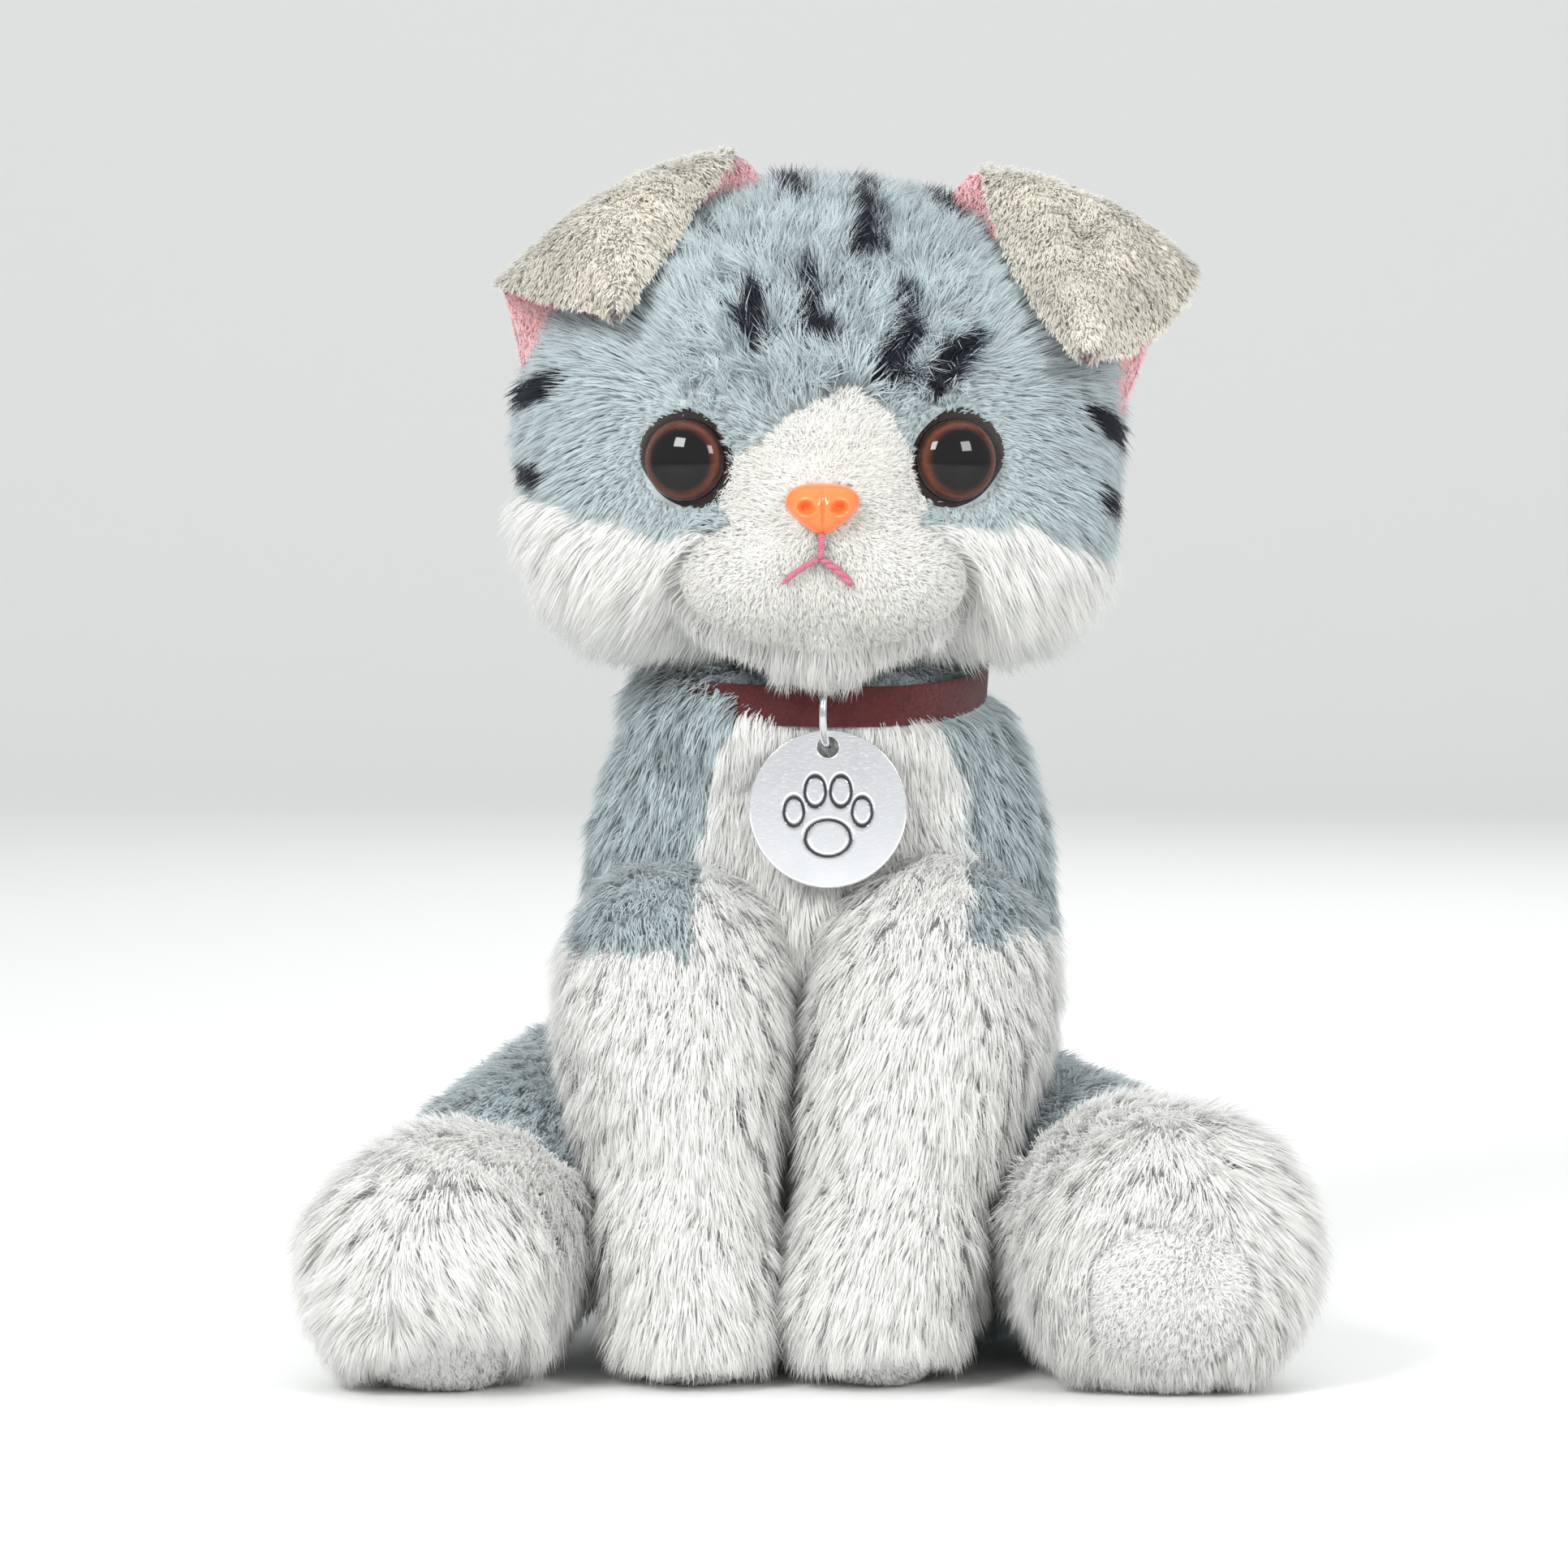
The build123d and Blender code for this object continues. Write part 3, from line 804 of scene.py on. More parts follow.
@dataclass
class Fur:
    """One area of pile on a surface."""

    name: str
    body: str
    slot: str
    surface: Surface
    pile: Pile
    finish: bpy.types.Material
    where: Callable[[Array, Array], Array]
    colour: Callable[[Array], Array]
    comb: Callable[[Array, Array], Array]
    length: Callable[[Array], Array] | None = None
    seed: int = 1
    press: Callable[[Array], Array] | None = None

    def roots(self) -> tuple[Array, Array]:
        """Roots and normals inside the area, never more than one piece can hold."""
        points, normals = self.surface.scatter(self.pile.per_mm2 * THINNING, self.seed)
        keep = self.where(points, normals)
        rng = np.random.default_rng(self.seed + 7)
        keep &= ~under_others(points, self.body) | (rng.random(len(points)) < HIDDEN_SHARE)
        points, normals = points[keep], normals[keep]
        if len(points) > STRANDS_A_PIECE:
            LOG.warning("%s: %d strands thinned to %d", self.name, len(points), STRANDS_A_PIECE)
            points, normals = points[:STRANDS_A_PIECE], normals[:STRANDS_A_PIECE]
        return points, normals

    def strands(self) -> tuple[Array, Array, Array, Array]:
        """The five corners of each strand.

        A strand leaves its root tilted from the normal towards the combed direction, bends
        further over half way, droops, and is drawn towards the middle of its tuft. Its flat
        width is at right angles to it, turned by chance about its own length.

        Returns:
            Corners (n, 5, 3), shading normals (n, 5, 3), colours (n, 3) and chance (n,).
        """
        pile = self.pile
        root, normal = self.roots()
        rng = np.random.default_rng(self.seed + 100)
        draw = rng.random((len(root), 5))
        centre, tuft = Chance.tufts(root, pile.tuft, self.seed)
        wide, _ = Chance.tufts(root, pile.tuft * 2.7, self.seed + 50)
        swirl = Chance.noise(root, 11.0, self.seed) * 0.35
        comb = unit(self.comb(root, normal)) + swirl
        comb += (rng.random((len(root), 3)) - 0.5) * 2 * pile.frizz
        comb += (tuft[:, 3:6] - 0.5) * 1.3 * pile.frizz
        flat = unit(comb - normal * dot(comb, normal))

        scale = 1 + (draw[:, 0] - 0.6) * pile.uneven + (tuft[:, 4] - 0.5) * pile.uneven * 0.8
        length = pile.length * scale
        if self.length is not None:
            length = length * self.length(root)
        length = length[:, None]
        tilt = np.radians(pile.tilt + (tuft[:, 5] - 0.5) * 22 + (draw[:, 1] - 0.5) * 18)[:, None]
        over = tilt + np.radians(pile.bend)
        first = normal * np.cos(tilt) + flat * np.sin(tilt)
        second = unit(normal * np.cos(over) + flat * np.sin(over) - UP * pile.droop)
        base = root - normal * 0.5
        middle = root + first * length * 0.5
        tip = middle + second * length * 0.5
        pull = centre - root
        pull = pull - normal * dot(pull, normal)
        broad = wide - root
        broad = broad - normal * dot(broad, normal)
        middle = middle + pull * pile.gather * 0.4
        tip = tip + pull * pile.gather + broad * pile.gather * 0.12

        run = unit(middle - base)
        side = unit(np.cross(run, normal))
        face = np.cross(side, run)
        spin = ((draw[:, 2] - 0.5) * math.radians(70))[:, None]
        across = side * np.cos(spin) + face * np.sin(spin)
        half = across * pile.width / 2 * (0.75 + draw[:, 3:4] * 0.5) / math.sqrt(THINNING)
        corners = np.stack([base - half, base + half,
                            middle - half * 0.85, middle + half * 0.85, tip], axis=1)
        corners[..., 2] = np.maximum(corners[..., 2], FLOOR_GAP)
        if self.press is not None:
            corners = self.press(corners)

        facing = unit(np.cross(across, run))
        soft = unit(normal * 0.72 + facing * 0.34 + (draw[:, 2:5] - 0.5) * 0.22)
        lifted = unit(soft + second * 0.25)
        shading = np.stack([soft, soft, soft, soft, lifted], axis=1)
        return corners, shading, self.colour(root), draw[:, 4]

    def grow(self) -> bpy.types.Object:
        """Make the piece and let it ride on its body."""
        corners, shading, colour, chance = self.strands()
        piece = strand_object(self.name, corners, shading, colour, chance)
        piece.data.materials.append(self.finish)
        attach(piece, self.body)
        LOG.info("%s: %d strands on %s", self.name, len(corners), self.body)
        return piece


def strand_object(name: str, corners: Array, shading: Array, colour: Array,
                  chance: Array) -> bpy.types.Object:
    """A mesh of strands: each is a quad from root to middle and a triangle to the tip.

    Args:
        name: The piece's name.
        corners: Five corners a strand, in millimetres.
        shading: A shading normal for each corner.
        colour: A linear colour for each strand.
        chance: One random number for each strand.
    Returns:
        The new object, with its attributes and one texture cell for each strand.
    """
    count = len(corners)
    mesh = bpy.data.meshes.new(name)
    mesh.vertices.add(count * 5)
    mesh.vertices.foreach_set("co", (corners * MM).astype(np.float32).ravel())
    first = np.arange(count)[:, None] * 5
    loops = (first + np.array([0, 1, 3, 2, 2, 3, 4])).ravel()
    mesh.loops.add(count * 7)
    mesh.loops.foreach_set("vertex_index", loops.astype(np.int32))
    mesh.polygons.add(count * 2)
    starts = (np.arange(count)[:, None] * 7 + np.array([0, 4])).ravel()
    mesh.polygons.foreach_set("loop_start", starts.astype(np.int32))
    mesh.polygons.foreach_set("use_smooth", np.ones(count * 2, dtype=bool))
    mesh.update(calc_edges=True)

    dye = mesh.attributes.new("pile_colour", "FLOAT_COLOR", "POINT")
    rgba = np.ones((count, 5, 4), dtype=np.float32)
    rgba[..., :3] = colour[:, None]
    dye.data.foreach_set("color", rgba.ravel())
    along = mesh.attributes.new("pile_along", "FLOAT", "POINT")
    along.data.foreach_set("value", np.tile(np.array([0, 0, 0.5, 0.5, 1], np.float32), count))
    own = mesh.attributes.new("pile_chance", "FLOAT", "POINT")
    own.data.foreach_set("value", np.repeat(chance.astype(np.float32), 5))

    cells = int(math.ceil(math.sqrt(count)))
    column, row = np.arange(count) % cells, np.arange(count) // cells
    inner = np.array([[0.2, 0.2], [0.8, 0.2], [0.7, 0.5], [0.3, 0.5], [0.3, 0.5], [0.7, 0.5], [0.5, 0.8]])
    cell = np.stack([column, row], axis=1)[:, None, :]
    layer = mesh.uv_layers.new(name="OFBake")
    layer.data.foreach_set("uv", ((cell + inner) / cells).astype(np.float32).ravel())
    mesh.normals_split_custom_set_from_vertices(shading.reshape(-1, 3).tolist())
    piece = bpy.data.objects.new(name, mesh)
    bpy.context.scene.collection.objects.link(piece)
    return piece


def dye_skin(piece: bpy.types.Object, colour: Callable[[Array], Array]) -> None:
    """Give a skin the pattern of its own cloth, as a point attribute."""
    mesh = piece.data
    places = np.empty(len(mesh.vertices) * 3, np.float32)
    mesh.vertices.foreach_get("co", places)
    rgb = colour(places.reshape(-1, 3).astype(float) / MM)
    dye = mesh.attributes.new("pile_colour", "FLOAT_COLOR", "POINT")
    rgba = np.ones((len(rgb), 4), np.float32)
    rgba[:, :3] = rgb
    dye.data.foreach_set("color", rgba.ravel())


def point_values(piece: bpy.types.Object, name: str, values: Array) -> None:
    """Store one number for each vertex."""
    layer = piece.data.attributes.new(name, "FLOAT", "POINT")
    layer.data.foreach_set("value", np.asarray(values, np.float32).ravel())


def build_filling(name: str, body: str, points: Array, inside: Array, finish: bpy.types.Material,
                  node: str) -> None:
    """The stuffing under a skin, as the skin's own grid set in from its normals."""
    dress(closed_mesh(name, points, inside), body, "fibre_fill", finish, node)


def dress(piece: bpy.types.Object, body: str, slot: str, finish: bpy.types.Material, *nodes: str) -> None:
    """Give a piece its finish, its body and the CAD nodes that it stands for."""
    piece.data.materials.clear()
    piece.data.materials.append(finish)
    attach(piece, body)
    if nodes:
        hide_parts(*nodes)
    LOG.info("%s rides on %s", piece.name, body)


# ------------------------------------------------------------------ finishes
class Finishes:
    """Every finish of the cat, built once."""

    def __init__(self) -> None:
        """Build the shared groups, then the materials."""
        for build in (build_pile_group, build_grain_group, build_wear_group):
            build()
        # root and tip set each pile's painted shade at the root and painted light at the tip.
        self.grey = PileFinish("grey_pile", root=0.60, tip=1.12, spread=0.22).make()
        self.pepper = PileFinish("pepper_pile", root=0.48, tip=1.14, spread=0.34).make()
        self.white = PileFinish("white_pile", root=0.98, tip=1.03, spread=0.05, sheen=0.35,
                                through=0.62).make()
        self.short = PileFinish("short_pile", root=0.95, tip=1.03, spread=0.07, sheen=0.35).make()
        self.ear = PileFinish("ear_pile", root=0.94, tip=1.06, spread=0.09, sheen=0.5).make()
        knit = srgb(120, 120, 118)
        self.skin = ClothFinish("knit_backing", knit, srgb(96, 98, 100), own_colour=True).make()
        self.felt = ClothFinish("brown_felt", srgb(44, 27, 22), srgb(20, 12, 10), scale=1500,
                                depth=0.7).make()
        self.suede = ClothFinish("red_suede", srgb(98, 16, 13), srgb(50, 6, 6), scale=1100, stretch=1.2,
                                 depth=0.85, lift=0.0006, sheen=0.2).make()
        self.fibre = ClothFinish("fibre_fill", srgb(238, 238, 236), srgb(205, 206, 206), scale=500,
                                 stretch=2.5, lift=0.001).make()
        self.gather = ClothFinish("neck_gather", srgb(150, 160, 164), srgb(96, 106, 112), scale=800).make()
        self.pouch = ClothFinish("pouch_weave", srgb(225, 221, 208), srgb(180, 174, 158), scale=700).make()
        self.washer = HardFinish("washer_plastic", srgb(232, 232, 226), clear=0.3, worn=0.5).make()
        self.nose = HardFinish("nose_plastic", srgb(238, 122, 62), clear=0.22, worn=0.42, coat=0.35,
                               subsurface=0.3).make()
        self.steel = HardFinish("ring_steel", srgb(205, 206, 208), metallic=1.0, clear=0.08, worn=0.25).make()
        self.tag = HardFinish("tag_steel", srgb(238, 239, 242), metallic=1.0, clear=0.10, worn=0.2, scale=120,
                              etched=True).make()
        self.eye = EyeFinish().make()
        self.mouth = ThreadFinish("mouth_thread", srgb(196, 104, 124)).make()


# ------------------------------------------------------------------ soft forms
def loaf_distance(points: Array, centre: Array, radii: Array) -> Array:
    """Rough distance from an ellipsoid: |p/r| times (|p/r| - 1) over |p/r squared|."""
    q = points - centre
    scaled = np.linalg.norm(q / radii, axis=-1)
    steep = np.linalg.norm(q / radii**2, axis=-1)
    return scaled * (scaled - 1) / np.maximum(steep, 1e-6)


@dataclass
class Bulge:
    """One ellipsoid of a soft form: its middle and its three radii."""

    middle: tuple[float, float, float]
    radii: tuple[float, float, float]


def star_surface(centre: Array, bulges: list[Bulge], melt: float, rows: int, columns: int) -> Array:
    """The outside of several ellipsoids melted together, seen from one centre.

    Each ray from the centre is halved again and again until it meets the surface where the smooth
    minimum of all the ellipsoids' distances is nothing.

    Args:
        centre: The point that all rays start from.
        bulges: The ellipsoids, placed from that centre.
        melt: How far neighbours flow into each other.
        rows: Rays from the top pole to the bottom one.
        columns: Rays round.
    Returns:
        The grid.
    """
    polar = np.linspace(0, math.pi, rows)[:, None]
    around = np.linspace(0, 2 * math.pi, columns, endpoint=False)[None]
    rays = np.stack([np.sin(polar) * np.cos(around), np.sin(polar) * np.sin(around),
                     np.cos(polar) * np.ones_like(around)], axis=-1)
    low, high = np.zeros(rays.shape[:2]), np.full(rays.shape[:2], 110.0)
    for _ in range(22):
        reach = (low + high) / 2
        spot = rays * reach[..., None]
        parts = [np.exp(-loaf_distance(spot, np.array(b.middle), np.array(b.radii)) / melt) for b in bulges]
        outside = -np.log(np.maximum(sum(parts), 1e-30)) > 0
        high, low = np.where(outside, reach, high), np.where(outside, low, reach)
    return centre + rays * low[..., None]


def capsule_rings(length: float, start: float, end: float, rows: int) -> tuple[Array, Array]:
    """Heights and radii along a rod with round ends: an arc, a straight taper and an arc.

    Args:
        length: Between the two ball centres.
        start: The first ball's radius.
        end: The last ball's radius.
        rows: How many rings.
    Returns:
        The heights and the radii.
    """
    slope = math.asin((start - end) / length)
    third = rows // 3
    low = np.linspace(-math.pi / 2, slope, third)
    high = np.linspace(slope, math.pi / 2, third)
    straight = np.linspace(0, 1, rows - 2 * third + 2)[1:-1]
    h0, r0 = start * math.sin(slope), start * math.cos(slope)
    h1, r1 = length + end * math.sin(slope), end * math.cos(slope)
    heights = np.concatenate([start * np.sin(low), h0 + (h1 - h0) * straight, length + end * np.sin(high)])
    radii = np.concatenate([start * np.cos(low), r0 + (r1 - r0) * straight, end * np.cos(high)])
    return heights, radii


# ------------------------------------------------------------------ the head
@dataclass
class Stripe:
    """A dark dash: two ends in the face's plane, its half width, and how far forward and back it runs."""

    start: tuple[float, float]
    end: tuple[float, float]
    half: float
    depth: tuple[float, float] = (-60.0, -4.0)


@dataclass
class Head:
    """The head: skin, fur, eyes, nose, mouth and folded ears."""

    finishes: Finishes
    body: str = "head"
    melt: float = 2.6
    bulges: list[Bulge] = field(default_factory=lambda: [
        Bulge((0, 1, 0), (59.5, 46.5, 46.5)),
        Bulge((-31, -14, -18), (26, 25, 22)),
        Bulge((31, -14, -18), (26, 25, 22)),
        Bulge((-11.5, -38.5, -30), (15, 13.5, 12)),
        Bulge((12.5, -38.5, -30), (15, 13.5, 12)),
        Bulge((0.5, -37.5, -19), (15, 14.5, 14)),
        Bulge((0.5, -33, -4), (15, 15, 20)),
        Bulge((0.5, -31, -38), (13, 12, 9)),
    ])
    stripes: list[Stripe] = field(default_factory=lambda: [
        Stripe((-13.0, 26.0), (-11.5, 14.5), 2.0),
        Stripe((-2.5, 28.0), (-0.5, 15.5), 1.9),
        Stripe((15.5, 22.0), (12.5, 8.5), 2.5),
        Stripe((27.0, 16.5), (22.5, 7.0), 2.2),
        Stripe((7.0, 49.0), (8.0, 31.0), 2.3, (-60, 8)),
        Stripe((-9.0, 49.5), (-5.5, 44.0), 2.0, (-20, 14)),
        Stripe((20.0, 48.0), (23.5, 40.5), 2.0, (-20, 12)),
        Stripe((-63.0, 6.5), (-50.5, 8.5), 2.0, (-26, 0)),
        Stripe((-65.0, -5.5), (-52.5, -9.0), 2.1, (-26, -2)),
        Stripe((51.0, 3.5), (66.0, -4.0), 2.2, (-26, 1)),
        Stripe((49.5, -10.0), (65.0, -17.0), 2.4, (-26, -1)),
        Stripe((0.0, 40.0), (0.0, 24.0), 2.4, (16, 60)),
        Stripe((-13.0, 34.0), (-12.0, 20.0), 2.3, (16, 60)),
        Stripe((13.0, 34.0), (12.0, 20.0), 2.3, (16, 60)),
        Stripe((-24.0, 6.0), (-10.0, 2.0), 2.3, (16, 60)),
        Stripe((24.0, 6.0), (10.0, 2.0), 2.3, (16, 60)),
    ])

    def __post_init__(self) -> None:
        """Place the head from its filling, then work out its surface."""
        box = node_box("head_stuffing")
        radius = (box[1, 1] - box[0, 1]) / 2
        self.centre = np.array([(box[0, 0] + box[1, 0]) / 2, (box[0, 1] + box[1, 1]) / 2, box[1, 2] - radius])
        self.eyes = {side: node_mid(f"eye_patch_{side}") for side in ("left", "right")}
        self.nose = node_mid("nose") * [1, 0, 1] + node_box("nose")[0] * [0, 1, 0]
        grid = star_surface(np.zeros(3), self.bulges, self.melt, 190, 280)
        for side, place in self.eyes.items():
            near = np.linalg.norm((grid - (place - self.centre)) * [1, 0.6, 1], axis=-1)
            push = 1.4 * np.exp(-((near / 8.5) ** 2))
            grid = grid * (1 - push / np.linalg.norm(grid, axis=-1))[..., None]
        self.surface = Surface(grid + self.centre, self.centre)
        for side, place in self.eyes.items():
            self.eyes[side] = self.surface_front(place[:1], place[2:])[0]

    # -- pattern of the cloth
    def local(self, points: Array) -> tuple[Array, Array, Array]:
        """Coordinates from the head's middle: across, back and up."""
        q = points - self.centre
        return q[..., 0], q[..., 1], q[..., 2]

    def face(self, points: Array) -> Array:
        """Above 0 inside the short-pile face: two ellipses and the blaze that narrows upwards."""
        x, y, z = self.local(points)
        puffs = 1 - ((x - 0.6) / 28.0) ** 2 - ((z + 30) / 13.5) ** 2
        cheeks = 1 - ((x - 0.8) / 20.0) ** 2 - ((z + 13) / 13.0) ** 2
        width = np.interp(z, [-14, -6, 2, 7.5], [20, 16, 9.5, 1.0])
        slant = 0.8 + 0.32 * np.clip(z + 8, 0, 20)
        blaze = np.where((z > -14) & (z < 7.5), 1 - np.abs(x - slant) / width, -1)
        inside = np.maximum(np.maximum(puffs, cheeks), blaze)
        return np.where(y < -24, inside, -1.0)

    def cheek(self, points: Array) -> Array:
        """Above 0 on the white cheeks and chin, in millimetres below their upper edge."""
        x, y, z = self.local(points)
        edge = np.interp(x, [-64, -38, -22, 22, 38, 66], [-11, -19, -21, -20, -18.5, -27])
        ragged = Chance.noise(points, 6.0, 5)[..., 0] * 1.6
        return edge - z + ragged - np.clip(y - 4, 0, 60) * 1.1

    def eye_near(self, points: Array) -> Array:
        """Distance to the nearer eye's middle."""
        return np.minimum(*[np.linalg.norm(points - place, axis=-1) for place in self.eyes.values()])

    def dash(self, points: Array) -> Array:
        """Above 0 inside a dark dash: half width less the distance from its middle line."""
        x, y, z = self.local(points)
        flat = np.stack([x, z], axis=-1)
        best = np.full(x.shape, -9.0)
        ragged = Chance.noise(points, 3.0, 8)[..., 1]
        for stripe in self.stripes:
            a, b = np.array(stripe.start), np.array(stripe.end)
            t = np.clip(((flat - a) @ (b - a)) / ((b - a) @ (b - a)), 0, 1)
            gap = np.linalg.norm(flat - (a + t[..., None] * (b - a)), axis=-1)
            near, far = stripe.depth
            within = np.minimum(y - near, far - y) + ragged * 1.5
            best = np.maximum(best, np.minimum(stripe.half * (0.75 + 0.5 * t) - gap, within))
        return best + ragged * 0.8

    def pepper(self, points: Array) -> Array:
        """How ruffled and dark-tipped the pile is: full on the forehead, fading to the sides."""
        x, y, z = self.local(points)
        middle = 1 - ramp(np.abs(x - 2), 22, 36)
        return middle * ramp(z, -2, 10)

    def colour(self, points: Array) -> Array:
        """The cloth's colour at each point."""
        mottle = Chance.noise(points, 3.4, 21)[..., 0] * 0.5 + Chance.noise(points, 1.5, 22)[..., 0] * 0.5
        dark = self.pepper(points) * ramp(mottle, -0.15, 0.75) * 0.8
        cloth = blend(GREY * np.ones(points.shape), PEPPER, dark)
        cloth = blend(cloth, STRIPE, ramp(self.dash(points), -0.25, 0.35))
        cloth = blend(cloth, WHITE, (self.cheek(points) > 0).astype(float))
        return blend(cloth, MUZZLE_WHITE, (self.face(points) > 0).astype(float))

    # -- the way the pile lies
    def comb(self, points: Array, normals: Array) -> Array:
        """Out from the nose over the whole head, falling on the cheeks and the sides."""
        q = points - self.nose
        x, y, z = self.local(points)
        away = unit(q)
        fall = np.stack([np.sign(x) * 0.25, 0.15 * np.ones_like(x), -1.0 * np.ones_like(x)], axis=-1)
        share = ramp(-z, -26, 8) * ramp(np.abs(x), 14, 34)
        share = np.maximum(share, ramp(-z, 26, 38))
        direction = blend(away, unit(fall + away * 0.45), share * 0.85)
        ruffle = Chance.noise(points, 5.0, 31) * self.pepper(points)[..., None] * 1.5
        near = self.eye_near(points)
        eye = np.where((points[..., 0] > self.centre[0])[..., None], self.eyes["left"], self.eyes["right"])
        direction = blend(direction, unit(points - eye), np.exp(-((near / 12) ** 2)) * 0.9)
        return direction + ruffle

    def pile_length(self, points: Array) -> Array:
        """Shorter towards the eyes and the face, longer low on the cheeks."""
        x, y, z = self.local(points)
        near = ramp(self.eye_near(points), 8, 24) * 0.72 + 0.28
        brow = 0.62 + 0.38 * ramp(-self.face(points), -0.2, 0.6)
        low = 1 + 0.35 * ramp(-z, 16, 34) * ramp(np.abs(x), 18, 40)
        return near * brow * low

    def open_skin(self, points: Array) -> Array:
        """False under the eyes and nose and inside the neck's socket."""
        x, y, z = self.local(points)
        neck = joint_place("head_nod")
        clear = (self.eye_near(points) > 9.2) & (np.linalg.norm(points - neck, axis=-1) > 22)
        aside, above = points[..., 0] - self.nose[0], points[..., 2] - self.nose[2]
        button = (aside / 6.2) ** 2 + (above / 4.0) ** 2 > 1
        return clear & (button | (y > -30))

    def build(self) -> None:
        """Make every piece of the head."""
        f = self.finishes
        skin = closed_mesh("head_skin", self.surface.points[::2, ::2], self.centre)
        dye_skin(skin, self.colour)
        dress(skin, self.body, "grey_plush", f.skin, "head_crown_panel", "head_side_left", "head_side_right",
              "cheek_left", "cheek_right", "face_panel", "chin_panel", "muzzle_panel", "muzzle_stuffing")
        build_filling("head_filling", self.body, self.surface.offset(-FILLING_INSET)[::4, ::4],
                      self.centre, f.fibre, "head_stuffing")
        grey = Pile(7.2, 4.4, width=0.29, tilt=46, bend=22, frizz=0.20, tuft=2.6, gather=0.35)
        ruffled = Pile(8.0, 5.2, width=0.28, tilt=30, bend=26, frizz=0.55, tuft=2.7,
                       gather=0.62, droop=0.02)
        white = Pile(11.0, 5.0, width=0.27, tilt=44, bend=28, droop=0.2, frizz=0.2, tuft=3.2,
                     gather=0.3, uneven=0.24)
        short = Pile(2.1, 7.5, width=0.32, tilt=52, bend=20, droop=0.0, frizz=0.6, tuft=1.6, gather=0.25)

        def crown(p: Array, n: Array) -> Array:
            """Between the two gusset seams, above the face."""
            return self.grey_area(p) & (np.abs(p[:, 0] - self.centre[0]) < GUSSET_HALF_WIDTH)

        def flank(sign: int) -> Callable[[Array, Array], Array]:
            """Outside the gusset seam on one side."""
            return lambda p, n: (self.grey_area(p)
                                 & ((p[:, 0] - self.centre[0]) * sign >= GUSSET_HALF_WIDTH))

        def jowl(sign: int) -> Callable[[Array, Array], Array]:
            """The white area of one side."""
            return lambda p, n: self.white_area(p) & ((p[:, 0] - self.centre[0]) * sign >= 0)

        areas = [
            ("crown_fur", "striped_plush", ruffled, f.pepper, crown, self.pile_length),
            ("side_fur_left", "grey_plush", grey, f.grey, flank(1), self.pile_length),
            ("side_fur_right", "grey_plush", grey, f.grey, flank(-1), self.pile_length),
            ("cheek_fur_left", "white_plush", white, f.white, jowl(1), self.pile_length),
            ("cheek_fur_right", "white_plush", white, f.white, jowl(-1), self.pile_length),
            ("face_fur", "short_white_plush", short, f.short,
             lambda p, n: self.open_skin(p) & (self.face(p) > 0), None),
        ]
        for seed, (name, slot, pile, finish, where, length) in enumerate(areas, 10):
            Fur(name, self.body, slot, self.surface, pile, finish, where, self.colour, self.comb,
                length, seed).grow()
        for side in ("left", "right"):
            self.build_eye(side)
            Ear(self.finishes, side, self.centre).build()
        self.build_nose()
        self.build_mouth()

    def grey_area(self, p: Array) -> Array:
        """The grey cloth."""
        return self.open_skin(p) & (self.face(p) <= 0) & (self.cheek(p) <= 0)

    def white_area(self, p: Array) -> Array:
        """The long white cloth."""
        return self.open_skin(p) & (self.face(p) <= 0) & (self.cheek(p) > 0)

    # -- trim
    def build_eye(self, side: str, radius: float = 8.3, rise: float = 5.4, patch: float = 10.4) -> None:
        """A domed eye on its shank, over a felt patch with a soft edge.

        Args:
            side: The cat's own side.
            radius: The dome's radius.
            rise: Its height over the felt.
            patch: The felt's radius.
        """
        sign = 1 if side == "left" else -1
        turn = math.radians(16) * sign
        axis = np.array([math.sin(turn), -math.cos(turn), 0.0])
        place = self.eyes[side] + axis * 1.6
        steps = np.linspace(0, math.pi / 2, 22)
        dome = [(radius * math.sin(a), rise * math.cos(a) ** 0.9) for a in steps]
        back = [(radius, -0.5), (radius - 0.5, -1.0), (2.2, -1.2), (1.8, -2.0), (1.8, -12.0),
                (1.2, -12.6), (0, -12.8)]
        grid = turned(dome + back, 72, place, axis)
        eye = closed_mesh(f"eye_dome_{side}", grid, place)
        verts = np.array([v.co[:] for v in eye.data.vertices]) / MM - place
        point_values(eye, "radial", np.linalg.norm(verts - (verts @ axis)[:, None] * axis, axis=1) / radius)
        dress(eye, self.body, "eye_plastic", self.finishes.eye, f"eye_{side}")

        angle = np.linspace(0, 2 * math.pi, 96, endpoint=False)
        reach = patch * (1 + 0.05 * np.cos(angle - 2.2) + 0.02 * np.sin(5 * angle))
        across = unit(np.cross(axis, UP))
        other = np.cross(across, axis)
        rows = [(0.0, 1.0), (0.5, 1.0), (0.85, 0.9), (0.97, 0.6), (1.0, 0.2), (0.98, -0.9),
                (0.5, -1.2), (0.0, -1.2)]
        flat = np.cos(angle)[:, None] * across + np.sin(angle)[:, None] * other
        rings = [place + flat * (reach * share)[:, None] + axis * (height - 1.6 * share**2)
                 for share, height in rows]
        felt = closed_mesh(f"eye_felt_{side}", np.stack(rings), place)
        dress(felt, self.body, "felt", self.finishes.felt, f"eye_patch_{side}")

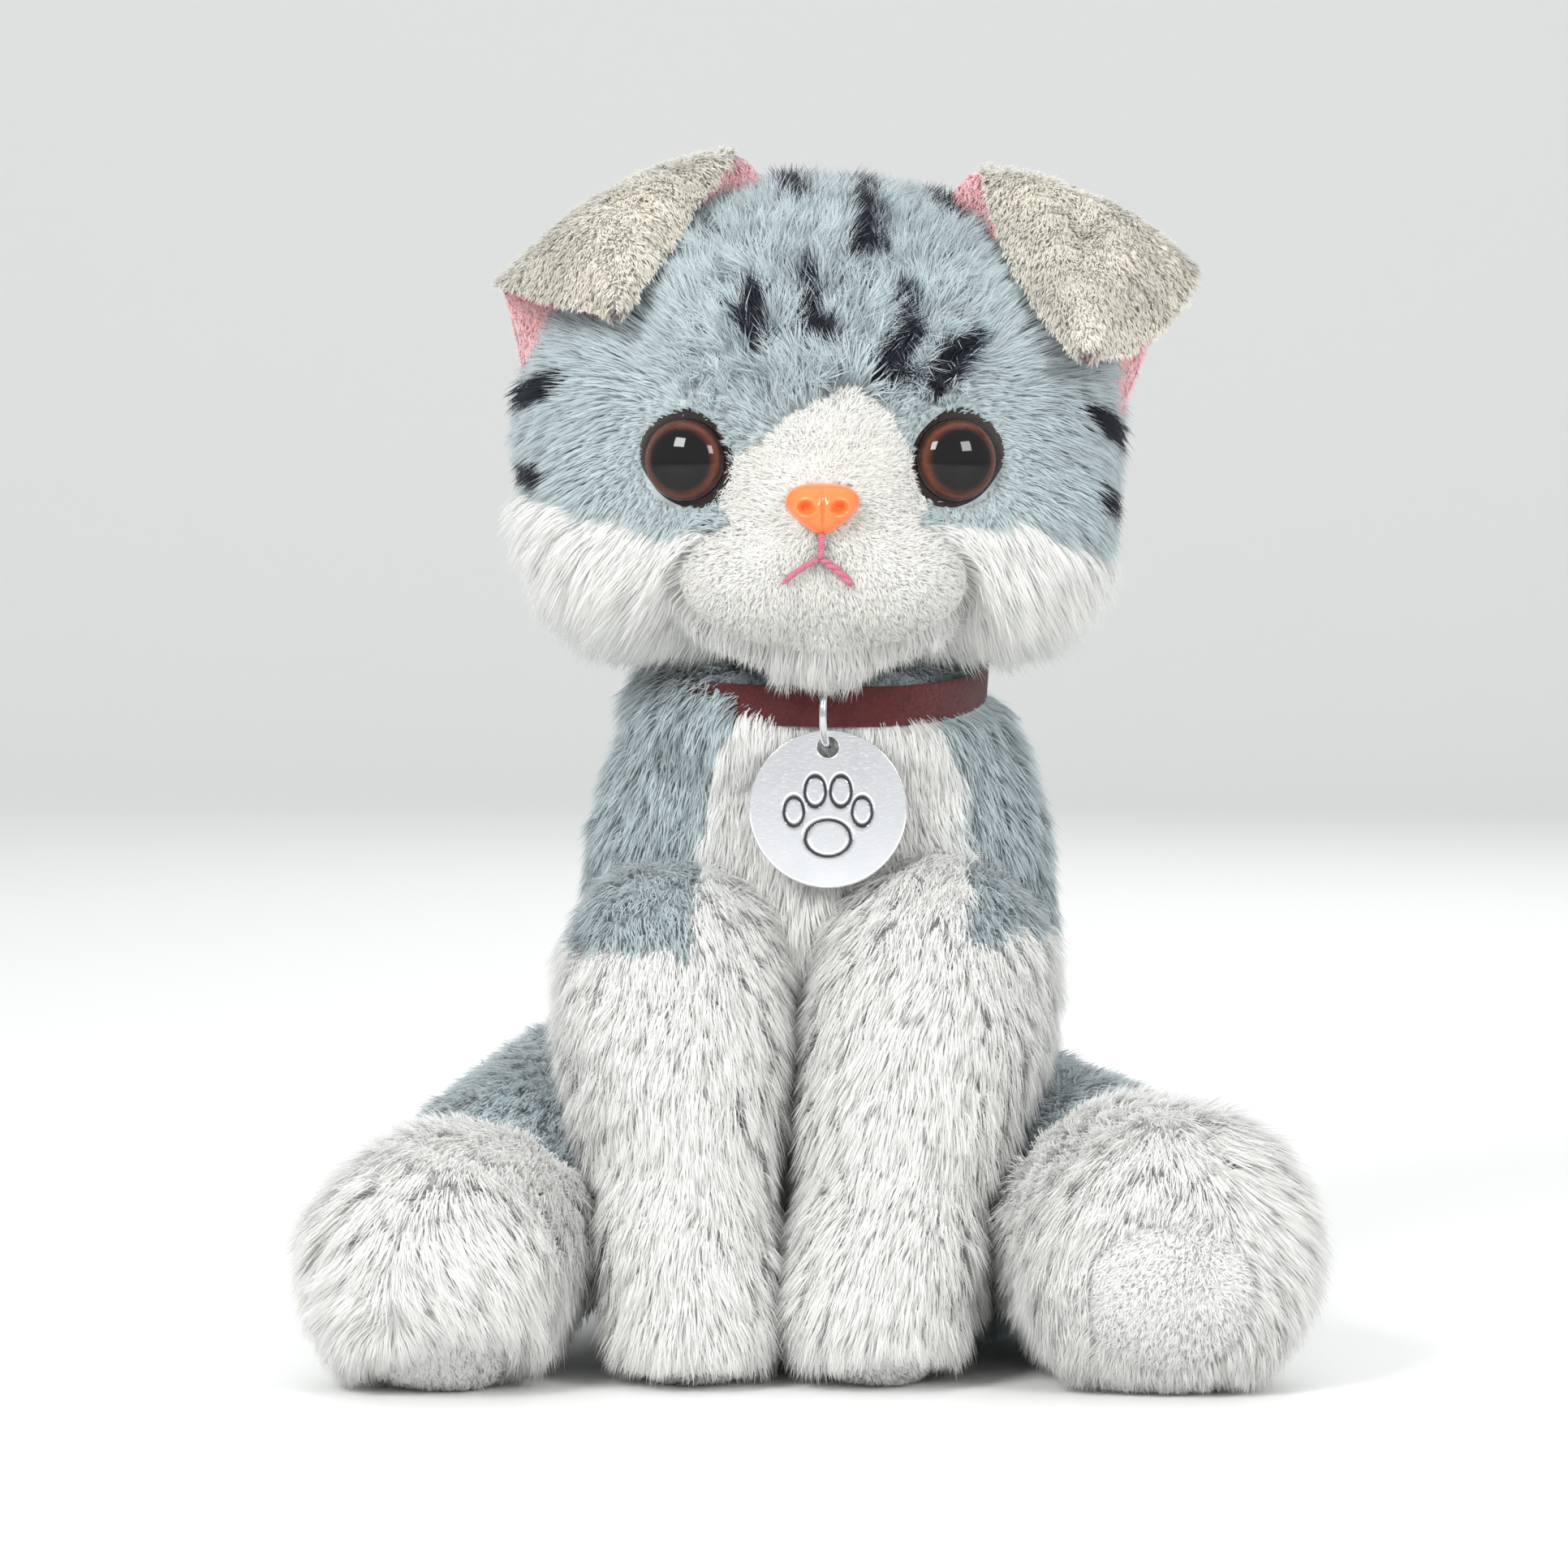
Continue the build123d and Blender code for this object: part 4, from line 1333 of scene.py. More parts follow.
    def build_nose(self, half_width: float = 7.4, half_height: float = 5.3, deep: float = 4.6) -> None:
        """A moulded nose: a rounded triangle, domed, with two nostrils and a middle groove.

        The outline is a circle squared off above and drawn to a point below. Height over it is the
        dome (1 - s squared) to the power 0.45, less two round pits and a narrow channel.
        """
        angle = np.linspace(0, 2 * math.pi, 96, endpoint=False)
        ring = np.linspace(0, 1, 30)
        s, a = np.meshgrid(ring, angle, indexing="ij")
        x, z = np.cos(a), np.sin(a)
        square = (np.abs(x) ** 2.8 + np.abs(z) ** 2.8) ** (-1 / 2.8)
        squeeze = np.where(z * square < 0, 1 - 0.62 * (-z * square) ** 1.1, 1.0)
        px = half_width * s * x * square * squeeze
        pz = half_height * s * z * square * np.where(z < 0, 1.05, 0.86)
        height = deep * (1 - s**2.2) ** 0.45
        for sign in (-1, 1):
            gap = ((px - sign * 3.3) / 1.35) ** 2 + ((pz + 0.2) / 1.05) ** 2
            height = height - 2.3 * np.exp(-(gap**1.4)) + 0.28 * np.exp(-((np.sqrt(gap) - 1.75) ** 2) * 6)
        height = height - 0.45 * np.exp(-((px / 0.32) ** 2)) * (s < 0.97)
        front = self.nose + [0, deep + 0.2, 0]
        top = np.stack([front[0] + px, front[1] - height, front[2] + pz], axis=-1)
        back = [np.stack([front[0] + px[-1] * k, front[1] + 2.2 + 0 * px[-1], front[2] + pz[-1] * k], axis=-1)
                for k in (0.96, 0.0)]
        grid = np.concatenate([top, np.stack(back)])
        nose = closed_mesh("nose_button", grid, front + [0, 1.5, 0])
        dress(nose, self.body, "nose_plastic", self.finishes.nose, "nose")

    def surface_front(self, x: Array, z: Array) -> Array:
        """Points of the face's skin straight behind places in the face's plane."""
        grid = self.surface.points.reshape(-1, 3)
        grid = grid[grid[:, 1] < self.centre[1] - 20]
        found = [grid[np.argsort((grid[:, 0] - a) ** 2 + (grid[:, 2] - b) ** 2)[:4]].mean(axis=0)
                 for a, b in zip(x, z)]
        return np.stack([x, np.array(found)[:, 1], z], axis=-1)

    def build_mouth(self, thick: float = 0.55) -> None:
        """A drop from the nose and two arms, each of two twisted threads laid on the pile."""
        middle = np.array([self.nose[0] - 0.4, self.nose[2] - 10.3])
        top = np.array([self.nose[0] - 0.1, self.nose[2] - 4.8])
        ends = [("mouth_drop", top), ("mouth_arm_right", middle + [-7.4, -4.8]),
                ("mouth_arm_left", middle + [6.4, -5.4])]
        for name, end in ends:
            t = np.linspace(0, 1, 40)
            bow = np.sin(t * math.pi) * (0.5 if name != "mouth_drop" else 0.0)
            x = middle[0] + (end[0] - middle[0]) * t
            z = middle[1] + (end[1] - middle[1]) * t + bow
            laid = self.surface_front(x, z)
            kernel = np.ones(9) / 9
            laid[:, 1] = np.convolve(np.pad(laid[:, 1], 4, mode="edge"), kernel, mode="valid") - 2.0
            run = np.linalg.norm(end - middle)
            plies = []
            for phase in (0, math.pi):
                wind = t * run * 1.5 + phase
                twist = np.stack([np.cos(wind) * 0.25, np.sin(wind) * 0.3, np.cos(wind) * 0.25], axis=-1)
                radius = thick * np.clip(np.minimum(t, 1 - t) * 12, 0.35, 1)
                plies.append(tube(laid + twist, radius, 12, np.array([0.0, 1.0, 0.2])))
            for number, grid in enumerate(plies):
                ply = closed_mesh(f"{name}_{number + 1}", grid, grid.mean(axis=(0, 1)))
                rows = grid.shape[0]
                along = np.repeat(np.linspace(0, run, rows - 2), 12)
                point_values(ply, "thread_along", np.concatenate([[0], along, [run]]))
                around = np.tile(np.linspace(0, 1, 12, endpoint=False), rows - 2)
                point_values(ply, "thread_round", np.concatenate([[0], around, [0]]))
                stands = ("mouth_stitches",) if name == "mouth_drop" and number == 0 else ()
                dress(ply, self.body, "mouth_thread", self.finishes.mouth, *stands)


# ------------------------------------------------------------------ ears
@dataclass(frozen=True)
class EarLines:
    """A folded ear, placed from the head's middle: its root and fold lines and its flap's tip."""

    root: list[tuple[float, float, float]]
    fold: list[tuple[float, float, float]]
    tip: tuple[float, float, float]
    power: float
    round: float
    dent: float


EAR_LINES = {
    "right": EarLines(
        root=[(-10, -5, 47), (-32, -14, 30), (-59, -4, 5)],
        fold=[(-17, -9, 54.5), (-41.5, -20, 46.5), (-66, -8, 27)],
        tip=(-41.0, -39.0, 23.0), power=1.5, round=0.80, dent=1.0),
    "left": EarLines(
        root=[(27, -5, 46), (40, -14, 24), (61, -4, 2)],
        fold=[(33, -9, 50.5), (55, -19, 45.5), (76, -8, 31)],
        tip=(53, -38, 14.5), power=2.4, round=0.70, dent=4.0),
}


@dataclass
class Ear:
    """A folded ear: plush outside, lining inside, its tip tacked down on the head."""

    finishes: Finishes
    side: str
    centre: Array
    thick: float = 1.8
    plump: float = 5.0
    body: str = "head"

    def sheet(self) -> Surface:
        """The ear's middle layer, from its root over the fold to the flap's tip.

        For each place s along the fold and t across it, a cubic curve leaves the root line, passes
        the fold half way and ends at the tip. Its two inner control points lie a third beyond the
        fold, one behind and one before it, which rounds the bend. Past the fold the curves draw
        together by (1 - k to the power) to the round, k being the share of the flap covered.
        """
        line = EAR_LINES[self.side]
        s, t = np.meshgrid(np.linspace(0, 1, 56), np.linspace(0, 0.999, 64), indexing="ij")
        k = np.clip(2 * t - 1, 0, 1)
        narrow = (1 - k**line.power) ** line.round
        spread = 0.5 + (s - 0.5) * (1 - 0.04 * np.sin(math.pi * t))
        root, fold = (curve_through(np.array(way, float), spread) for way in (line.root, line.fold))
        heart = curve_through(np.array(line.fold, float), 0.5 * np.ones_like(s))
        tip = np.array(line.tip, float) + (fold - heart)
        over = (fold - (root + tip) / 2) / 3
        ahead = np.array([0.0, -1.0, -0.1]) * self.plump
        first, second = fold + over - ahead, fold + over + ahead
        t3 = t[..., None]
        points = (root * (1 - t3) ** 3 + first * 3 * t3 * (1 - t3) ** 2
                  + second * 3 * t3**2 * (1 - t3) + tip * t3**3)
        points = points - (fold - heart) * (1 - narrow)[..., None]
        dent = line.dent * np.exp(-(((s - 0.42) / 0.12) ** 2 + ((t - 0.66) / 0.17) ** 2))
        wave = 0.9 * np.sin(s * 8.0 + 1.0) * ramp(t, 0.3, 0.8)
        points = points + (dent + wave)[..., None] * np.array([0.0, 0.85, -0.5])
        return Surface(points + self.centre, None, wrap=False)

    def build(self) -> None:
        """Make the cloth, the lining and their pile."""
        f = self.finishes
        middle = self.sheet()
        flap = middle.normals[28, 52]
        if flap[1] > 0:
            middle.normals = -middle.normals
        outer = Surface(middle.offset(self.thick / 2), None, wrap=False)
        inner = Surface(middle.offset(-self.thick / 2), None, wrap=False)
        outer.normals, inner.normals = middle.normals, -middle.normals
        cloth = sheet_mesh(f"ear_cloth_{self.side}", middle.offset(self.thick / 2), middle.points)
        dye_skin(cloth, lambda p: EAR_BEIGE * np.ones(p.shape))
        dress(cloth, self.body, "ear_plush", f.skin, f"ear_back_{self.side}")
        lining = sheet_mesh(f"ear_inside_{self.side}", middle.offset(-self.thick / 2), middle.offset(-0.05))
        dye_skin(lining, lambda p: PINK * np.ones(p.shape))
        dress(lining, self.body, "pink_lining", f.skin, f"ear_lining_{self.side}")
        plush = Pile(2.5, 8.0, width=0.40, tilt=48, bend=16, droop=0.0, frizz=0.32, tuft=2.6,
                     gather=0.18, uneven=0.2)
        nap = Pile(1.6, 4.5, width=0.38, tilt=45, bend=15, droop=0.0, frizz=0.5, tuft=1.8, gather=0.3)

        def everywhere(p: Array, n: Array) -> Array:
            """All of the cloth."""
            return np.ones(len(p), bool)

        def down(p: Array, n: Array) -> Array:
            """Away from the fold, down the flap."""
            return np.tile(np.array([0.1, -0.4, -1.0]), (len(p), 1))

        Fur(f"ear_fur_{self.side}", self.body, "ear_plush", outer, plush, f.ear, everywhere,
            self.beige, down, None, 40).grow()
        Fur(f"lining_fur_{self.side}", self.body, "pink_lining", inner, nap, f.ear, everywhere,
            lambda p: PINK * np.ones(p.shape), down, None, 44).grow()

    def beige(self, p: Array) -> Array:
        """Warm grey plush, brushed lighter and darker in patches."""
        patch = Chance.noise(p, 7.0, 61)[..., :1] * 0.10
        return EAR_BEIGE * (1 + patch)


# ------------------------------------------------------------------ the torso
def chest_white(points: Array) -> Array:
    """Above 0 on the white front: its half width less the distance from its middle line."""
    x, y, z = points[..., 0], points[..., 1], points[..., 2]
    half = np.interp(z, [40, 66, 82, 98, 118, 134, 139], [18, 22, 26, 28, 25, 19, 0])
    middle = np.interp(z, [60, 100, 140], [1.0, 4.5, 5.5])
    ragged = Chance.noise(points, 6.0, 71)[..., 0] * 2.0
    return np.where(y < 8, half - np.abs(x - middle) + ragged, -9)


@dataclass
class Torso:
    """Back, chest and seat as one stuffed skin, with grey and white pile."""

    finishes: Finishes
    body: str = "torso"
    base_y: float = 13.05
    profile: list[tuple[float, float]] = field(default_factory=lambda: [
        (0, -1), (20, -1), (33, 0), (40.5, 5), (44.5, 18), (46, 36), (46.5, 62), (46.8, 88), (45.4, 106),
        (41.5, 121), (36.8, 131), (33.4, 136), (31.5, 140), (27, 143.5), (14, 145), (0, 145)])
    chest_y: float = -28.0
    throat_y: float = -34.6

    def __post_init__(self) -> None:
        """Find the leaning axis from the collar's joint and work out the surface.

        Each ring is round behind and an oval in front, where the chest is pressed flat.
        """
        axis = joint_axis("collar_turn")
        top = joint_place("collar_turn")
        base = top - axis * (top[2] / axis[2])
        radius, height = np.array(self.profile, float).T
        walk = np.concatenate([[0], np.cumsum(np.hypot(np.diff(radius), np.diff(height)))])
        fine = np.linspace(0, walk[-1], 200)
        radius, height = np.interp(fine, walk, radius), np.interp(fine, walk, height)
        kernel = np.ones(9) / 9
        radius = np.convolve(np.pad(radius, 4, mode="edge"), kernel, mode="valid")
        radius[0] = radius[-1] = 0
        around = np.linspace(0, 2 * math.pi, 300, endpoint=False)
        middle = base + axis * height[:, None]
        plane = self.chest_y + (self.throat_y - self.chest_y) * ramp(height, 118, 137)
        front = np.minimum(radius, np.maximum(middle[:, 1] - plane, 1.0))
        front = front + (radius - front) * ramp(-height, -46, -10)
        x = radius[:, None] * np.sin(around)
        depth = np.where(np.cos(around) > 0, front[:, None], radius[:, None])
        full = (np.abs(np.sin(around)) ** 2.3 + np.abs(np.cos(around)) ** 2.3) ** (-1 / 2.3)
        bulk = np.where(np.cos(around) > 0, full, 1.0)
        y = -depth * np.cos(around) * bulk
        x = x * np.where(np.cos(around) > 0, 1 + (bulk - 1) * 0.5, 1.0)
        swell = 1 + 0.10 * ramp(height, 127, 136)[:, None] * ramp(-np.sin(around), 0.35, 0.8)
        x, y = x * swell, y * swell
        forward = np.cross(axis, [1.0, 0, 0])
        points = middle[:, None] + x[..., None] * np.array([1.0, 0, 0]) + y[..., None] * forward
        points[..., 2] = np.maximum(points[..., 2], SKIN_FLOOR)
        self.axis, self.base = axis, base
        self.walk, self.radius = height, radius
        self.surface = Surface(points, base + axis * 60)
        SOLIDS.append((self.body, self.covers))

    def covers(self, points: Array) -> Array:
        """True more than four millimetres inside the torso."""
        height = (points - self.base) @ self.axis
        off = np.linalg.norm(points - self.base - height[:, None] * self.axis, axis=1)
        ups = np.linspace(4, 134, 60)
        inside = off < np.interp(height, ups, np.interp(ups, self.walk, self.radius)) - 4
        return inside & (points[:, 1] > self.chest_y + 4) & (height > 4) & (height < 134)

    def colour(self, points: Array) -> Array:
        """Grey cloth with darker, mottled pile in random patches, dark bars on the back, and the white chest.
        """
        speck = Chance.noise(points, 3.0, 72)[..., 0] * 0.6 + Chance.noise(points, 1.4, 73)[..., 0] * 0.4
        zone = Chance.noise(points, 22.0, 74)[..., 0] * 0.5 + 0.5
        dark = ramp(speck, 0.0, 0.8) * (0.25 + 0.55 * zone)
        cloth = blend(GREY * np.ones(points.shape), PEPPER, dark)
        bars = np.sin(points[..., 2] / 6.3 + Chance.noise(points, 14.0, 75)[..., 0])
        spine = 1 - ramp(np.abs(points[..., 0] - 2), 20, 34)
        behind = ramp(points[..., 1], 30, 44) * ramp(bars, 0.72, 0.9) * spine
        cloth = blend(cloth, STRIPE, behind * 0.9)
        return blend(cloth, WHITE, (chest_white(points) > 0).astype(float))

    def pile_length(self, points: Array) -> Array:
        """Shorter round the tag, on the front."""
        tag = node_mid("tag")
        behind = np.hypot(points[..., 0] - tag[0], points[..., 2] - tag[2] - 3)
        near = np.exp(-((behind / 23) ** 4)) * (points[..., 1] < 0)
        return 1 - 0.5 * near

    def press(self, corners: Array) -> Array:
        """Hold strands behind the tag, and inside the strap where it lies over the pile."""
        tag = node_box("tag")
        middle = tag.mean(axis=0)
        over = np.hypot(corners[..., 0] - middle[0], corners[..., 2] - middle[2]) < 18
        over &= corners[..., 1] < 0
        corners[..., 1] = np.where(over, np.maximum(corners[..., 1], tag[1, 1] + 0.8), corners[..., 1])
        strap = node_box("collar_strap").mean(axis=0)
        height = (corners - strap) @ self.axis
        outer = corners - strap - height[..., None] * self.axis
        far = np.linalg.norm(outer, axis=-1)
        free = corners[..., 0] > -13.5 - 1.7 * height
        limit = np.where((np.abs(height) < 5.2) & free, 33.0, far)
        shrink = np.minimum(far, limit) / np.maximum(far, 1e-6)
        return strap + height[..., None] * self.axis + outer * shrink[..., None]

    def comb(self, points: Array, normals: Array) -> Array:
        """Down the body and a little away from the chest's middle."""
        out = np.sign(points[..., :1]) * np.array([0.18, 0, 0])
        return np.array([0.0, 0.0, -1.0]) + out

    def build(self) -> None:
        """Make the skin and its three areas of pile."""
        f = self.finishes
        skin = closed_mesh("torso_skin", self.surface.points[::2, ::3], self.base + self.axis * 60)
        dye_skin(skin, self.colour)
        dress(skin, self.body, "grey_plush", f.skin, "torso_back_panel", "chest_panel", "base_panel")
        build_filling("torso_filling", self.body, self.surface.offset(-FILLING_INSET)[::4, ::5],
                      self.base + self.axis * 60, f.fibre, "torso_stuffing")
        grey = Pile(7.5, 2.7, width=0.37, tilt=50, bend=20, droop=0.15, frizz=0.30, tuft=3.0, gather=0.45)
        white = Pile(10.0, 4.4, width=0.31, tilt=46, bend=26, droop=0.25, frizz=0.22, tuft=3.2,
                     gather=0.32, uneven=0.24)
        top = joint_place("head_nod")

        def above_seat(p: Array) -> Array:
            """Not on the seat and not inside the neck."""
            return (p[:, 2] > 2.5) & (np.linalg.norm(p - top, axis=1) > 20)

        def back(sign: int) -> Callable[[Array, Array], Array]:
            """The grey cloth of one side."""
            return lambda p, n: above_seat(p) & (chest_white(p) <= 0) & ((p[:, 0] - MIDDLE_X) * sign >= 0)

        areas = [
            ("back_fur_left", "grey_plush", grey, f.grey, back(1)),
            ("back_fur_right", "grey_plush", grey, f.grey, back(-1)),
            ("chest_fur", "white_plush", white, f.white,
             lambda p, n: above_seat(p) & (chest_white(p) > 0)),
        ]
        for seed, (name, slot, pile, finish, where) in enumerate(areas, 70):
            Fur(name, self.body, slot, self.surface, pile, finish, where, self.colour, self.comb,
                self.pile_length, seed, self.press).grow()


# ------------------------------------------------------------------ limbs
class LimbKind(Enum):
    """The two sorts of leg."""

    FORE = "foreleg"
    HIND = "hind_leg"


@dataclass
class Limb:
    """One stuffed leg, from its joint ball to its foot ball, relative to its joint."""

    finishes: Finishes
    kind: LimbKind
    side: str
    joint: str
    reach: tuple[float, float, float]
    start_radius: float
    end_radius: float
    white_from: float
    sole_way: tuple[float, float, float]
    sole_angle: float
    fur: float
    lean_back: float
    elbow: float
    ankle: float
    seed: int

    def __post_init__(self) -> None:
        """Work out the surface: a round-ended rod, swollen and creased a little by its filling."""
        self.start = joint_place(self.joint)
        self.end = self.start + np.array(self.reach)
        self.body = f"{self.kind.value}_{self.side}"
        axis = self.end - self.start
        self.length = float(np.linalg.norm(axis))
        self.axis = axis / self.length
        heights, radii = capsule_rings(self.length, self.start_radius - 0.4, self.end_radius - 0.6, 120)
        side = unit(np.cross(self.axis, UP if abs(self.axis[2]) < 0.8 else np.array([0.0, 1.0, 0.0])))
        other = np.cross(self.axis, side)
        around = np.linspace(0, 2 * math.pi, 160, endpoint=False)
        ring = np.cos(around)[:, None] * side + np.sin(around)[:, None] * other
        points = self.start + heights[:, None, None] * self.axis + radii[:, None, None] * ring[None]
        out = unit(ring[None] * np.ones((len(heights), 1, 1)))
        soft = Chance.noise(points, 16.0, self.seed)[..., 0] * 1.2
        share = heights / self.length
        waist = (self.elbow * np.exp(-(((share - 0.22) / 0.16) ** 2))
                 - self.ankle * np.exp(-(((share - 0.66) / 0.13) ** 2)))[:, None]
        points = points + out * ((soft + waist) * (radii / radii.max())[:, None])[..., None]
        back = self.lean_back * np.clip(1 - heights / self.length, 0, 1.2) ** 2
        points[..., 1] += back[:, None]
        points[..., 2] = np.maximum(points[..., 2], SKIN_FLOOR)
        self.surface = Surface(points, (self.start + self.end) / 2)
        SOLIDS.append((self.body, self.covers))

    def covers(self, points: Array) -> Array:
        """True more than four millimetres inside the limb."""
        share = np.clip(self.along(points), 0, 1)
        nearest = self.start + share[:, None] * (self.end - self.start)
        radius = self.start_radius + (self.end_radius - self.start_radius) * share
        return np.linalg.norm(points - nearest, axis=1) < radius - 4

    def along(self, points: Array) -> Array:
        """How far down the limb, as a share of its length."""
        return ((points - self.start) @ self.axis) / self.length

    def sole(self, points: Array) -> Array:
        """Above 0 on the short-pile sole: the cosine from the sole's way, less its limit."""
        way = unit(points - self.end) @ unit(np.array(self.sole_way))
        return way - math.cos(math.radians(self.sole_angle))

    def edge(self, points: Array) -> Array:
        """Above 0 on the white cloth."""
        ragged = Chance.noise(points, 6.0, self.seed + 3)[..., 0]
        if self.kind is LimbKind.HIND:
            return self.along(points) - self.white_from + ragged * 0.025
        return np.maximum(self.white_from - points[..., 2] + ragged * 1.8, chest_white(points))

    def colour(self, points: Array) -> Array:
        """Grey above, white below."""
        speck = ramp(Chance.noise(points, 2.6, self.seed + 4)[..., 0], 0.0, 0.9) * 0.25
        cloth = blend(GREY * np.ones(points.shape), PEPPER, speck)
        return blend(cloth, WHITE, (self.edge(points) > 0).astype(float))

    def comb(self, points: Array, normals: Array) -> Array:
        """Down the limb, then out over the foot and down to the floor."""
        share = self.along(points)
        down = self.axis * np.ones(points.shape)
        radial = (points - self.end) - ((points - self.end) @ self.axis)[..., None] * self.axis
        foot = unit(radial) * 0.7 - UP * 0.7 + self.axis * 0.25
        return blend(down, foot, ramp(share, 0.82, 1.1))

    def pile_length(self, points: Array) -> Array:
        """Shorter near the sole and on the underside."""
        near = 0.55 + 0.45 * ramp(-self.sole(points), 0.0, 0.25)
        under = 0.5 + 0.5 * ramp(points[..., 2], 2, 12)
        return near * under

    def build(self) -> None:
        """Make the skin and the pile of its three cloths."""
        f, kind, side = self.finishes, self.kind.value, self.side
        skin = closed_mesh(f"{kind}_skin_{side}", self.surface.points[::2, ::2], (self.start + self.end) / 2)
        dye_skin(skin, self.colour)
        pieces = ("sleeve", "paw") if self.kind is LimbKind.FORE else ("thigh", "foot")
        nodes = [f"{kind}_{piece}_{side}" for piece in (*pieces, "sole")]
        dress(skin, self.body, "white_plush", f.skin, *nodes)
        build_filling(f"{kind}_filling_{side}", self.body, self.surface.offset(-FILLING_INSET)[::4, ::4],
                      (self.start + self.end) / 2, f.fibre, f"{kind}_stuffing_{side}")
        white = Pile(self.fur, 4.6, width=0.31, tilt=42, bend=26, droop=0.2, frizz=0.22, tuft=3.2,
                     gather=0.30, uneven=0.24)
        grey = Pile(7.0, 3.0, width=0.34, tilt=48, bend=22, droop=0.15, frizz=0.3, tuft=3.0, gather=0.45)
        short = Pile(2.3, 7.0, width=0.32, tilt=45, bend=15, droop=0.0, frizz=0.6, tuft=1.8, gather=0.3)
        areas = [
            (f"{kind}_{pieces[1]}_fur_{side}", "white_plush", white, f.white,
             lambda p, n: (self.edge(p) > 0) & (self.sole(p) <= 0), self.pile_length),
            (f"{kind}_{pieces[0]}_fur_{side}", "grey_plush", grey, f.grey,
             lambda p, n: self.edge(p) <= 0, None),
            (f"{kind}_sole_fur_{side}", "short_white_plush", short, f.short,
             lambda p, n: self.sole(p) > -0.02, None),
        ]
        for step, (name, slot, pile, finish, where, length) in enumerate(areas):
            Fur(name, self.body, slot, self.surface, pile, finish, where, self.colour, self.comb,
                length, self.seed + step).grow()


# ------------------------------------------------------------------ the tail
@dataclass
class Tail:
    """A stuffed tail curled on the floor, ringed with dark bars."""

    finishes: Finishes
    arc: float = 36.0
    start: float = 150.0
    sweep: float = 160.0
    radius: float = 8.6
    body: str = "tail"

    def __post_init__(self) -> None:
        """Carry rings along the arc, with round ends."""
        root = joint_place("tail_swing")
        angle = math.radians(self.start)
        self.middle = root - np.array([math.cos(angle), math.sin(angle), 0]) * self.arc
        ends = self.radius / self.arc
        total = math.radians(self.sweep)
        cap = np.linspace(0, math.pi / 2, 16)
        run = np.linspace(0, total, 90)[1:-1]
        walk = np.concatenate([-ends * np.cos(cap), run, total + ends * np.sin(cap)])
        radii = np.concatenate([self.radius * np.sin(cap), np.full(len(run), self.radius),
                                self.radius * np.cos(cap)])
        turn = angle - walk
        path = self.middle + self.arc * np.stack([np.cos(turn), np.sin(turn), 0 * turn], axis=-1)
        out = unit(path - self.middle)
        around = np.linspace(0, 2 * math.pi, 72, endpoint=False)
        ring = np.cos(around)[None, :, None] * out[:, None] + np.sin(around)[None, :, None] * UP
        points = path[:, None] + ring * radii[:, None, None]
        points[..., 2] = np.maximum(points[..., 2], SKIN_FLOOR)
        self.path, self.inside = path, path[len(path) // 2]
        self.surface = Surface(points, None)
        centres = np.repeat(path[:, None], 72, axis=1)
        if (self.surface.normals * (points - centres)).sum() < 0:
            self.surface.normals = -self.surface.normals

    def share(self, points: Array) -> Array:
        """How far along the tail, from 0 at its root to 1 at its tip."""
        q = points - self.middle
        angle = np.degrees(np.arctan2(q[..., 1], q[..., 0]))
        return np.clip((self.start - angle) / self.sweep, -0.1, 1.2)

    def colour(self, points: Array) -> Array:
        """Grey with dark bars and a dark tip."""
        share = self.share(points)
        bars = ramp(np.sin(share * 30), 0.35, 0.75)
        tip = ramp(share + Chance.noise(points, 5.0, 91)[..., 0] * 0.02, 0.79, 0.83)
        return blend(GREY * np.ones(points.shape), STRIPE, np.maximum(bars * 0.9, tip))

    def comb(self, points: Array, normals: Array) -> Array:
        """Along the tail to its tip."""
        q = points - self.middle
        along = np.stack([q[..., 1], -q[..., 0], 0 * q[..., 0]], axis=-1)
        return unit(along) - UP * 0.2

    def build(self) -> None:
        """Make the skin and its pile."""
        f = self.finishes
        grid = self.surface.points
        skin = closed_mesh("tail_skin", grid, self.inside)
        if self.inward(skin, grid):
            skin.data.flip_normals()
        dye_skin(skin, self.colour)
        dress(skin, self.body, "grey_plush", f.skin, "tail_cover", "tail_tip")
        pile = Pile(7.0, 3.8, width=0.33, tilt=46, bend=22, droop=0.12, frizz=0.3, tuft=3.0, gather=0.45)
        Fur("tail_fur", self.body, "grey_plush", self.surface, pile, f.grey,
            lambda p, n: np.ones(len(p), bool), self.colour, self.comb,
            lambda p: 0.5 + 0.5 * ramp(p[:, 2], 1, 7), 90).grow()

    def inward(self, skin: bpy.types.Object, grid: Array) -> bool:
        """Whether the skin came out inside out, tested on its middle ring.

        Args:
            skin: The closed mesh.
            grid: The points it was made from.
        Returns:
            True where its faces look inwards.
        """
        rows, columns = grid.shape[:2]
        ring = grid[rows // 2]
        face = skin.data.polygons[(rows // 2 - 1) * columns]
        return float(np.dot(np.array(face.normal), np.array(face.center) / MM - ring.mean(axis=0))) < 0


